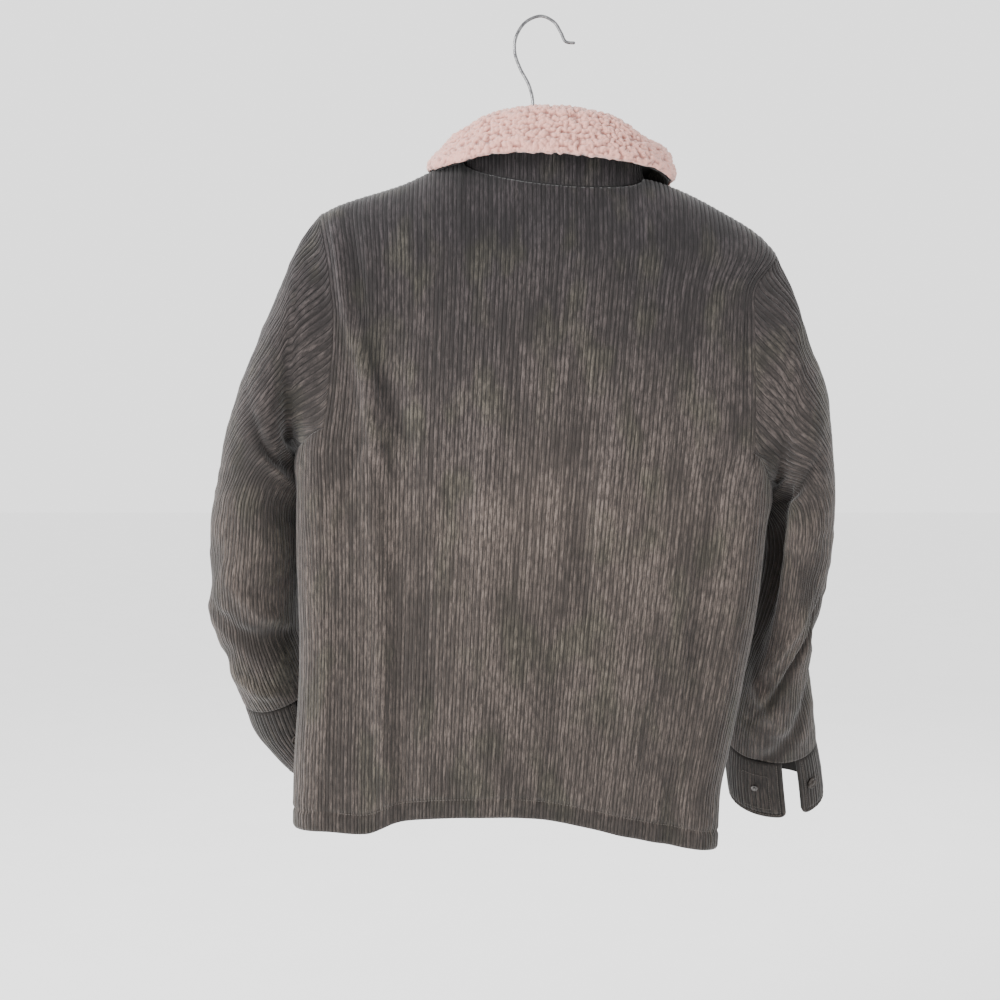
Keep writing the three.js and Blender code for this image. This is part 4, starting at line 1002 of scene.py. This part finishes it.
def cuff(hand):
    """A cuff between the two sides of its slit. Columns near a free end are drawn in to round its corners."""
    low, high = CUFF_OPEN[hand]
    repeats, wales = repeats_between(0, CUFF_REPEATS[hand])
    share = repeats / CUFF_REPEATS[hand]
    share = 1 - share if hand == "left" else share
    top, foot = [0, 0.015, 0.04, 0.08], [1.92, 1.95, 1.975, 1.99, 2.0]
    places = np.concatenate([top, np.linspace(0.12, 1.88, 44), foot])
    place, turn = np.meshgrid(places, mix(high, 1 + low, share), indexing="ij")
    surface = cuff_surface(hand)
    plain = surface(turn, place)
    length, round_way = way(plain, 0), way(plain, 1)
    end = np.minimum(round_way, round_way[:, -1:] - round_way)
    cut = CUFF_ROUND - np.sqrt(np.clip(CUFF_ROUND ** 2 - np.clip(CUFF_ROUND - end, 0, None) ** 2, 0, None))
    place = place * (1 - cut / length[-1])
    base = surface(turn, place)
    n = cuff_outward(hand, turn, place)
    length = way(base, 0)
    edge = np.minimum(end, length[-1] - length)
    lift = 0.4 * ripple(base, 16.0, 31) * np.clip(edge / 6, 0, 1)
    lift = lift - 0.9 * lump((edge - CUFF_STITCH) / 1.1) - 0.3 * lump(length / 1.2) - 0.9 * lump(edge / 1.2)
    height = WALE * wales[None, :] * np.clip(edge / 2, 0, 1) * np.clip(length / 3, 0, 1)
    height = height * (1 - 0.5 * lump((edge - CUFF_STITCH) / 1.1))
    outer = base + n * (lift + height)[..., None]
    inner = base - n * CUFF_WALL
    cloth = np.stack([np.broadcast_to(repeats * REPEAT, edge.shape), length, height / WALE], -1)
    # The cuff wears the corduroy's darker copy, painted in shade.
    made = make_wall(f"cuff_{hand}_cloth", outer, inner, cloth, (CUFF_ROW_STEP, PER_REPEAT),
                     finishes=(SHADED_CUFF_CORDUROY, SHADED_CUFF_CORDUROY))
    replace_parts(made, "cuff_" + hand)


cuff("left")
cuff("right")


# The collar: a stand of corduroy with upright wales, which rolls over into a fall lined with sherpa.
# Angles go round the neck from the middle of the back, the wearer's right positive.
COLLAR = {
    "angle": [
        -170, -154, -138, -124, -112, -100, -90, -76, -62, -35,
        0, 35, 62, 76, 90, 100, 112, 124, 138, 154, 170,
    ],
    "rise": [22, 19, 18, 19, 20, 20, 20, 27, 36, 59, 71, 65, 42, 34, 29, 24, 20, 19, 19, 20, 22],
    "roll": [8, 8, 8, 8, 8, 8, 8, 8, 8, 8, 8, 8, 10, 13, 14, 11, 8, 8, 8, 8, 8],
    "out": [26, 28, 30, 35, 36, 35, 35, 34, 31, 27, 25, 27, 31, 32, 29, 30, 33, 34, 30, 28, 26],
    "edge": [-43, -38, -30, -10, -7, -8, -8, -5, 3, 21, 29, 25, 14, 3, -1, -3, -9, -14, -30, -38, -43],
}
COLLAR_END = 170
COLLAR_ROW_STEP = 19
UPRIGHT_END, LEVEL_START, WALE_FADE = 0.5, 0.56, 0.06   # where the stand's wales end and the fall's start
COLLAR_INSET = 2
COLLAR_LIFT = 0.1
STAND_LEAN = 4
STAND_SHARE, ROLL_SHARE = 0.4, 0.62
ROLL_TURN = 0.86
UNDER_COLLAR = 2.0
PILE = 8.5
PILE_GAP = 0.6
collar_at = {key: curve(COLLAR["angle"], COLLAR[key]) for key in COLLAR if key != "angle"}


def collar_point(angle, t):
    """The collar's section at an angle, carried round the neck's edge.

    The section goes up the stand as a slight curve, over the roll as an arc and straight down the fall.
    """
    radius = collar_at["roll"](angle)
    top = collar_at["rise"](angle) - radius
    up = np.clip(t / STAND_SHARE, 0, 1)
    stand_r, stand_z = mix(-COLLAR_INSET, -STAND_LEAN, up * up), mix(COLLAR_LIFT, top, up)
    over = np.clip((t - STAND_SHARE) / (ROLL_SHARE - STAND_SHARE), 0, 1) * ROLL_TURN * np.pi
    roll_r, roll_z = -STAND_LEAN + radius - radius * np.cos(over), top + radius * np.sin(over)
    fall = np.clip((t - ROLL_SHARE) / (1 - ROLL_SHARE), 0, 1)
    r = np.where(t <= STAND_SHARE, stand_r, mix(roll_r, collar_at["out"](angle), fall))
    z = np.where(t <= STAND_SHARE, stand_z, mix(roll_z, collar_at["edge"](angle), fall))
    turn = np.radians(angle)
    behind = np.abs(angle) <= 90
    x = NECK_X + NECK_HALF * np.sin(turn)
    back_y, back_z, _ = neck_edge(x, "back")
    front_y, front_z, _ = neck_edge(x, "front")
    depth = np.where(behind, NECK_BACK["depth"] + SHOULDER_Y, NECK_FRONT["depth"] - SHOULDER_Y)
    away = unit(np.stack([np.sin(turn) / NECK_HALF, -np.cos(turn) / depth], -1))
    y = np.where(behind, back_y, front_y) + away[..., 1] * r
    return np.stack([x + away[..., 0] * r, y, np.where(behind, back_z, front_z) + z], -1)


def collar_outward(angle, t):
    """Out of the sherpa's side of the collar."""
    inside = np.clip(angle, 0.5 - COLLAR_END, COLLAR_END - 0.5)
    return outward(collar_point, inside, np.clip(t, 0.01, 0.99), -0.5, 0.01)


sample = np.linspace(-COLLAR_END, COLLAR_END, 3001)
neck_way = way(collar_point(sample, np.zeros_like(sample)), 0)
NECK_LENGTH = float(neck_way[-1])


def collar_angles(share):
    """Angles at equal steps of the neck seam's length."""
    return np.interp(share * NECK_LENGTH, neck_way, sample)


def to_edges(points):
    """The lengths down and round a grid, and the distance of each point to the nearest edge."""
    down, across = way(points, 0), way(points, 1)
    end = np.minimum(across, across[:, -1:] - across)
    return down, across, np.minimum(np.minimum(end, down), down[-1] - down)


COLLAR_REPEATS = round(NECK_LENGTH / REPEAT)
repeats, wales = repeats_between(0, COLLAR_REPEATS)
sections = np.concatenate([
    [0, 0.012, 0.03], np.linspace(0.05, 0.38, 19), np.linspace(0.4, 0.62, 14),
    np.linspace(0.633, 0.97, 38), [0.98, 0.99, 1],
])
t, angle = np.meshgrid(sections, collar_angles(repeats / COLLAR_REPEATS), indexing="ij")
base, n = collar_point(angle, t), collar_outward(angle, t)
length, round_way, edge = to_edges(base)
upright = wales[None, :] * np.clip((UPRIGHT_END - t) / WALE_FADE, 0, 1)
level = np.interp((length / REPEAT) % 1, np.append(PLACES, 1), np.append(HEIGHTS, 0))
level = level * np.clip((t - LEVEL_START) / WALE_FADE, 0, 1)
height = WALE * (upright + level) * np.clip(edge / 3, 0, 1)
ridge = 0.5 * ripple(base, 18.0, 41) * np.clip(edge / 8, 0, 1)
foot = 1.1 * lump((length - 1.5) / 1.8) * (1 + 0.5 * ripple(base, 11.0, 42))
outer = base - n * (UNDER_COLLAR + ridge + height + foot)[..., None]
cloth = np.stack([np.broadcast_to(repeats * REPEAT, t.shape), length, height / WALE], -1)
collar = make_wall("collar_cloth", outer, base, cloth, (COLLAR_ROW_STEP, PER_REPEAT),
                   finishes=(CORDUROY, CORDUROY))
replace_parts(collar, "collar")


# The sherpa on the collar: a deep pile, matted into round curls of five to seven millimetres.
# It is glued to a knit back, sewn to the corduroy round the edges, and thickest on the roll.
TUFT = 4.4                   # width of a curl
TUFT_HEIGHT = 3.2
SHERPA_COLUMNS = 460
SHERPA_ROWS = 141
SHERPA_STEP = 10
STRAND = 2.9                 # width of the smaller strands between the curls
PILE_EDGE, PILE_ROUND = 1.2, 9          # the pile's thickness at its edges, and over how much it grows
CUBES = 24


def cells(points, size, seed):
    """The distance from each point to the nearest of the scattered centres, one in each cube of that size."""
    scattered = np.random.default_rng(seed).uniform(0.1, 0.9, (CUBES, CUBES, CUBES, 3))
    at = points / size
    low = np.floor(at).astype(int)
    nearest = np.full(points.shape[:-1], 9.0)
    for dx in (-1, 0, 1):
        for dy in (-1, 0, 1):
            for dz in (-1, 0, 1):
                cube = low + (dx, dy, dz)
                centre = cube + scattered[cube[..., 0] % CUBES, cube[..., 1] % CUBES, cube[..., 2] % CUBES]
                nearest = np.minimum(nearest, np.linalg.norm(at - centre, axis=-1))
    return nearest


# The sherpa's crevices between curls are painted in shade with the deep colour.
SHERPA = fleece("sherpa", (0.60, 0.29, 0.23, 1), (0.22, 0.075, 0.055, 1), 420.0, 0.5, modelled=True)
round_neck = collar_angles(np.linspace(0, 1, SHERPA_COLUMNS + 1))
t, angle = np.meshgrid(np.linspace(0, 1, SHERPA_ROWS), round_neck, indexing="ij")
base, n = collar_point(angle, t), collar_outward(angle, t)
length, round_way, edge = to_edges(base)
full = np.sqrt(1 - (1 - np.clip(edge / PILE_ROUND, 0, 1)) ** 2)
surface = base + n * (PILE * full)[..., None]
bent = surface + np.stack([ripple(surface, 5.0, seed) for seed in (51, 52, 53)], -1) * 1.6
curls = 1 - np.clip(cells(bent, TUFT, 54) / 0.78, 0, 1) ** 2
strands = 1 - np.clip(cells(bent, STRAND, 55) / 0.8, 0, 1) ** 2
fluff = TUFT_HEIGHT * (curls - 0.75) + 0.9 * (strands - 0.6) + 0.8 * ripple(surface, 24.0, 56)
outer = base + n * (mix(PILE_EDGE, PILE, full) + fluff * np.clip(edge / 4, 0.25, 1))[..., None]
hang = (1.6 + 1.8 * ripple(base, 4.5, 57)) * lump((length[-1] - length) / 5)
outer = outer + unit(np.gradient(base, axis=0)) * hang[..., None]
inner = base + n * PILE_GAP
cloth = np.stack([round_way, length, np.clip(curls, 0, 1)], -1)
sherpa = make_wall("sherpa_collar", outer[:, ::-1], inner[:, ::-1], cloth[:, ::-1],
                   (SHERPA_STEP, SHERPA_STEP), finishes=(SHERPA, SHERPA), sharp=180)
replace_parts(sherpa, "top_collar")


# The press snaps: caps of dark burnished metal, pressed through the cloth, with a rolled rim and a dome.
# On the cuffs a small stud stands on the other side of the slit, in a ring.
# Radius and height of each point of the two profiles, from the axis outwards.
CAP_PROFILE = [
    (0, 2.9), (1.6, 2.8), (2.7, 2.5), (3.3, 2.0), (3.8, 1.75), (4.4, 2.1),
    (5.0, 2.4), (5.7, 2.3), (6.3, 1.8), (6.6, 1.0), (6.5, 0),
]
STUD_PROFILE = [
    (0, 3.1), (1.0, 3.0), (1.5, 2.6), (1.6, 1.9), (1.3, 1.4), (1.9, 1.1),
    (2.6, 1.5), (3.2, 1.6), (3.7, 1.2), (3.8, 0.5), (3.8, 0),
]
SNAP_SIDES = 40
SNAP_HEIGHTS = [-300, -400, -500, -600, -700, -798]
CUFF_CAP, CUFF_STUD = -0.05, 0.1        # how far from the slit they sit, in turns
FRONT_RISE, CUFF_RISE = 2.3, 0.9        # how high a snap's foot stands over the plain cloth


def metal(name, dark, bright, rough):
    """Burnished metal: its roughness and colour vary in soft spots, and it is finely scratched."""
    finish = Finish(name, metallic=1.0)
    place = finish.node("TexCoord", output=3)
    spots = finish.spread(finish.noise(place, 260.0, 4.0, 0.6), 0.35, 0.65)
    scratches = finish.noise(place, 900.0, 2.0, 0.6, (1, 1, 0.2))
    colour = finish.mix(spots, dark, bright)
    fine = finish.bump(scratches, 0.15, 0.0002)
    return finish.put(base_color=colour, roughness=rough + 0.14 * spots, normal=fine)


SNAP_METAL = metal("snap_metal", (0.016, 0.014, 0.013, 1), (0.06, 0.053, 0.048, 1), 0.34)
STUD_METAL = metal("stud_metal", (0.05, 0.047, 0.045, 1), (0.14, 0.135, 0.13, 1), 0.2)


def turned(name, profile, at, facing, finish):
    """A profile turned round an axis: its radii go out from the axis, and its heights along its facing."""
    radii, heights = np.array(profile, float).T
    helper = np.array([0.0, 0.0, 1.0]) if abs(facing[2]) < 0.9 else np.array([1.0, 0.0, 0.0])
    side = unit(np.cross(helper, facing))
    up = np.cross(facing, side)
    angle = np.arange(SNAP_SIDES) / SNAP_SIDES * 2 * np.pi
    spokes = np.cos(angle)[:, None] * side + np.sin(angle)[:, None] * up
    ring = at + radii[1:, None, None] * spokes + heights[1:, None, None] * facing
    points = np.concatenate([[at + heights[0] * facing], ring.reshape(-1, 3)])
    ids = 1 + np.arange(SNAP_SIDES * (len(radii) - 1)).reshape(-1, SNAP_SIDES)
    ids = np.concatenate([ids, ids[:, :1]], 1)
    middle = np.stack([np.zeros(SNAP_SIDES, int), ids[0, :-1], ids[0, 1:]], -1)
    foot = ids[-1:, -2::-1]
    made = make_piece(name, points, [middle, quads(ids[::-1]), foot], [finish], sharp=50)
    return made


for i, z in enumerate(SNAP_HEIGHTS):
    here = np.zeros(1)
    hem, notch, top = hem_line["front"](here), lower_top(here), top_edge(here, "front")[1]
    row = np.where(z < notch, (z - hem) / (notch - hem), 1 + (z - notch) / (top - notch))
    n = body_outward(here, row, "front")[0]
    at = body_point(here, row, "front")[0] + n * FRONT_RISE
    cap = turned(f"cap_front_{i + 1}", CAP_PROFILE, at, n, SNAP_METAL)
    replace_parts(cap, f"snap_front_{i + 1}")
for hand in ("left", "right"):
    low, high = CUFF_OPEN[hand]
    for word, profile, turn, finish in (
        ("snap", CAP_PROFILE, low + CUFF_CAP, SNAP_METAL),
        ("stud", STUD_PROFILE, high + CUFF_STUD, STUD_METAL),
    ):
        here = np.array([turn]), np.array([1.0])
        n = cuff_outward(hand, *here)[0]
        at = cuff_surface(hand)(*here)[0] + n * CUFF_RISE
        snap = turned(f"{word}_cuff_{hand}_metal", profile, at, n, finish)
        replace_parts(snap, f"{word}_cuff_{hand}")


# The hanger: a slim bar of black plastic inside the shoulders, which carries the jacket.
# Its hook is a bent steel wire with bright plating and a ball-smooth end, and screws into the bar.
HANGER_LINE = [
    (-212, -205.9), (-146, -184.3), (-84, -163), (-64, -160), (-36, -150), (-8, -143),
    (40, -156), (84, -177), (110, -183), (143, -190), (187, -211.3), (204, -221.8),
]
HANGER_BAR = (6.5, 4.4)      # half its depth and half its height
HOOK = [
    (-8, -139.6), (-8, -86), (-12, -69), (-21, -52), (-26.5, -36), (-25.5, -20),
    (-16, -5), (0, 1.6), (14, -4.5), (21.5, -16), (26, -24.5), (36, -26),
]
WIRE = (1.7, 1.7)


def tube(name, line, half, steps, sides, finish):
    """An oval carried along a smooth line in the hanger's plane. Its ends are rounded off like half balls."""
    line = np.array(line, float)
    chord = way(line, 0)
    body_at = np.linspace(0, chord[-1], steps)
    ball = half[1] * (1 - np.cos(np.linspace(0.15, np.pi / 2, 6)))
    at = np.unique(np.concatenate([body_at[1:-1], ball, chord[-1] - ball]))
    smooth = [curve(chord, line[:, k]) for k in (0, 1)]
    x, z = smooth[0](at), smooth[1](at)
    dx, dz = np.gradient(x, at), np.gradient(z, at)
    size = np.hypot(dx, dz)
    edge = np.clip(np.minimum(at, chord[-1] - at) / half[1], 0, 1)
    scale = np.sqrt(1 - (1 - edge) ** 2)
    angle = np.arange(sides) / sides * 2 * np.pi
    high = half[1] * np.sin(angle) * scale[:, None]
    points = np.stack([
        x[:, None] - dz[:, None] / size[:, None] * high,
        half[0] * np.cos(angle) * scale[:, None],
        z[:, None] + dx[:, None] / size[:, None] * high,
    ], -1)
    ids = np.arange(points[..., 0].size).reshape(-1, sides)
    ids = np.concatenate([ids, ids[:, :1]], 1)
    caps = [ids[:1, :-1], ids[-1:, -2::-1]]
    made = make_piece(name, points.reshape(-1, 3), [quads(ids[:, ::-1]), *caps], [finish], sharp=60)
    return made


plastic = Finish("hanger_plastic", roughness=0.5, specular_ior_level=0.4)
place = plastic.node("TexCoord", output=3)
dull = plastic.spread(plastic.noise(place, 60.0, 4.0, 0.6), 0.3, 0.7)
PLASTIC = plastic.put(
    base_color=plastic.mix(dull, (0.012, 0.012, 0.013, 1), (0.03, 0.03, 0.032, 1)),
    roughness=0.42 + 0.16 * dull,
    normal=plastic.bump(plastic.noise(place, 1400.0, 2.0), 0.12, 0.0003),
)
CHROME = metal("hook_steel", (0.10, 0.10, 0.105, 1), (0.22, 0.22, 0.225, 1), 0.14)
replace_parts(tube("hanger_bar", HANGER_LINE, HANGER_BAR, 90, 24, PLASTIC), "hanger")
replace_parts(tube("hanger_wire", HOOK, WIRE, 140, 16, CHROME), "hanger_hook")


# The stitches: dark thread along the hems and round the cuffs, three millimetres to a stitch.
# Each stitch is a small bead that dips into the cloth at both ends.
STITCH = 3.0
STITCH_HALF = 0.42           # half a bead's length, as a share of a stitch
THREAD_THICK = 0.42          # half the thread's thickness
HEM_STEPS = 600
thread = Finish("thread", roughness=0.7)
strand = thread.noise(thread.node("TexCoord", output=3), 900.0, 2.0)
THREAD = thread.put(
    base_color=thread.mix(strand, (0.030, 0.026, 0.022, 1), (0.075, 0.064, 0.055, 1)),
    normal=thread.bump(strand, 0.3, 0.0003),
)


def resampled(at, length, values):
    """The rows of values read at other lengths along their line."""
    return np.stack([np.interp(at, length, values[:, k]) for k in range(3)], -1)


def stitches(name, lines):
    """Beads along lines, each most of a stitch. A line is its points and the ways out of the cloth there."""
    beads = []
    along = np.array([-1, -0.55, 0, 0.55, 1])
    thick = np.array([0.3, 0.85, 1, 0.85, 0.3])
    sink = np.array([-0.35, 0.05, 0.2, 0.05, -0.35])
    angle = np.arange(6) / 6 * 2 * np.pi
    for points, normals in lines:
        length = way(points, 0)
        middle = np.arange(STITCH / 2, length[-1], STITCH)
        centre = resampled(middle, length, points)
        out = unit(resampled(middle, length, normals))
        ahead = unit(resampled(middle + 0.5, length, points) - centre + 1e-6)
        side = np.cross(ahead, out)
        spine = centre[:, None] + ahead[:, None] * (along * STITCH * STITCH_HALF)[None, :, None]
        spine = spine + out[:, None] * sink[None, :, None]
        ring = np.cos(angle)[:, None] * side[:, None, :] + np.sin(angle)[:, None] * out[:, None, :]
        beads.append(spine[:, :, None] + ring[:, None] * (THREAD_THICK * thick)[None, :, None, None])
    points = np.concatenate(beads)
    ids = np.arange(len(points) * 30).reshape(-1, 5, 6)
    ids = np.concatenate([ids, ids[:, :, :1]], 2)
    faces = np.stack([ids[:, :-1, :-1], ids[:, :-1, 1:], ids[:, 1:, 1:], ids[:, 1:, :-1]], -1).reshape(-1, 4)
    made = make_piece(name, points.reshape(-1, 3), [faces, ids[:, 0, -2::-1], ids[:, -1, :-1]], [THREAD])


def hem_stitches(side, low, high, sink=None):
    """The points of the hem's line on one side, just above its groove, and the ways out of the cloth."""
    s = np.linspace(low, high, HEM_STEPS)
    row = np.full(HEM_STEPS, HEM_ROW)
    n = body_outward(s, row, side)
    lap = 0 if sink is None else sink((s + 1) / 2 * REPEATS)[:, None]
    return body_point(s, row, side) + n * (0.3 - HEM_GROOVE - lap), n


def cuff_line(hand, corners, high):
    """A line on a cuff through corners, each a turn and a place, at a height above the plain cloth."""
    turns, places = np.array(corners).T
    share = np.linspace(0, len(corners) - 1, 160 * len(corners))
    turn, place = (np.interp(share, np.arange(len(corners)), values) for values in (turns, places))
    n = cuff_outward(hand, turn, place)
    return cuff_surface(hand)(turn, place) + n * high, n


CUFF_EDGE = 0.02, 0.165      # how far the line is from the slit, in turns, and from the end, in places
CUFF_TOP = 0.12              # and where it starts, in places
PATCH = 0.048, 0.56, 1.62    # the box round the stud: half its width in turns, and its two places
for hand in ("left", "right"):
    low, high = CUFF_OPEN[hand]
    aside, up = CUFF_EDGE
    wide, top, foot = PATCH
    stud = high + CUFF_STUD
    near, far = high + aside, 1 + low - aside
    around = [(near, CUFF_TOP), (near, 2 - up), (far, 2 - up), (far, CUFF_TOP)]
    left, right = stud - wide, stud + wide
    box = [(left, top), (right, top), (right, foot), (left, foot), (left, top)]
    stitches(f"cuff_{hand}_stitches", [cuff_line(hand, around, 0.2), cuff_line(hand, box, 0.9)])


HEM_END = 0.997              # the hem's lines stop just short of the side seams
EDGE_S = mix(-1, 1, (MIDDLE_REPEAT + LAP_REPEATS) / REPEATS)
SUNK_S = mix(-1, 1, (MIDDLE_REPEAT - LAP_REPEATS) / REPEATS)
stitches("hem_stitches", [
    hem_stitches("back", -HEM_END, HEM_END),
    hem_stitches("front", -HEM_END, EDGE_S - 0.004),
    hem_stitches("front", SUNK_S + 0.14, HEM_END, sunk),
])


low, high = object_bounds()
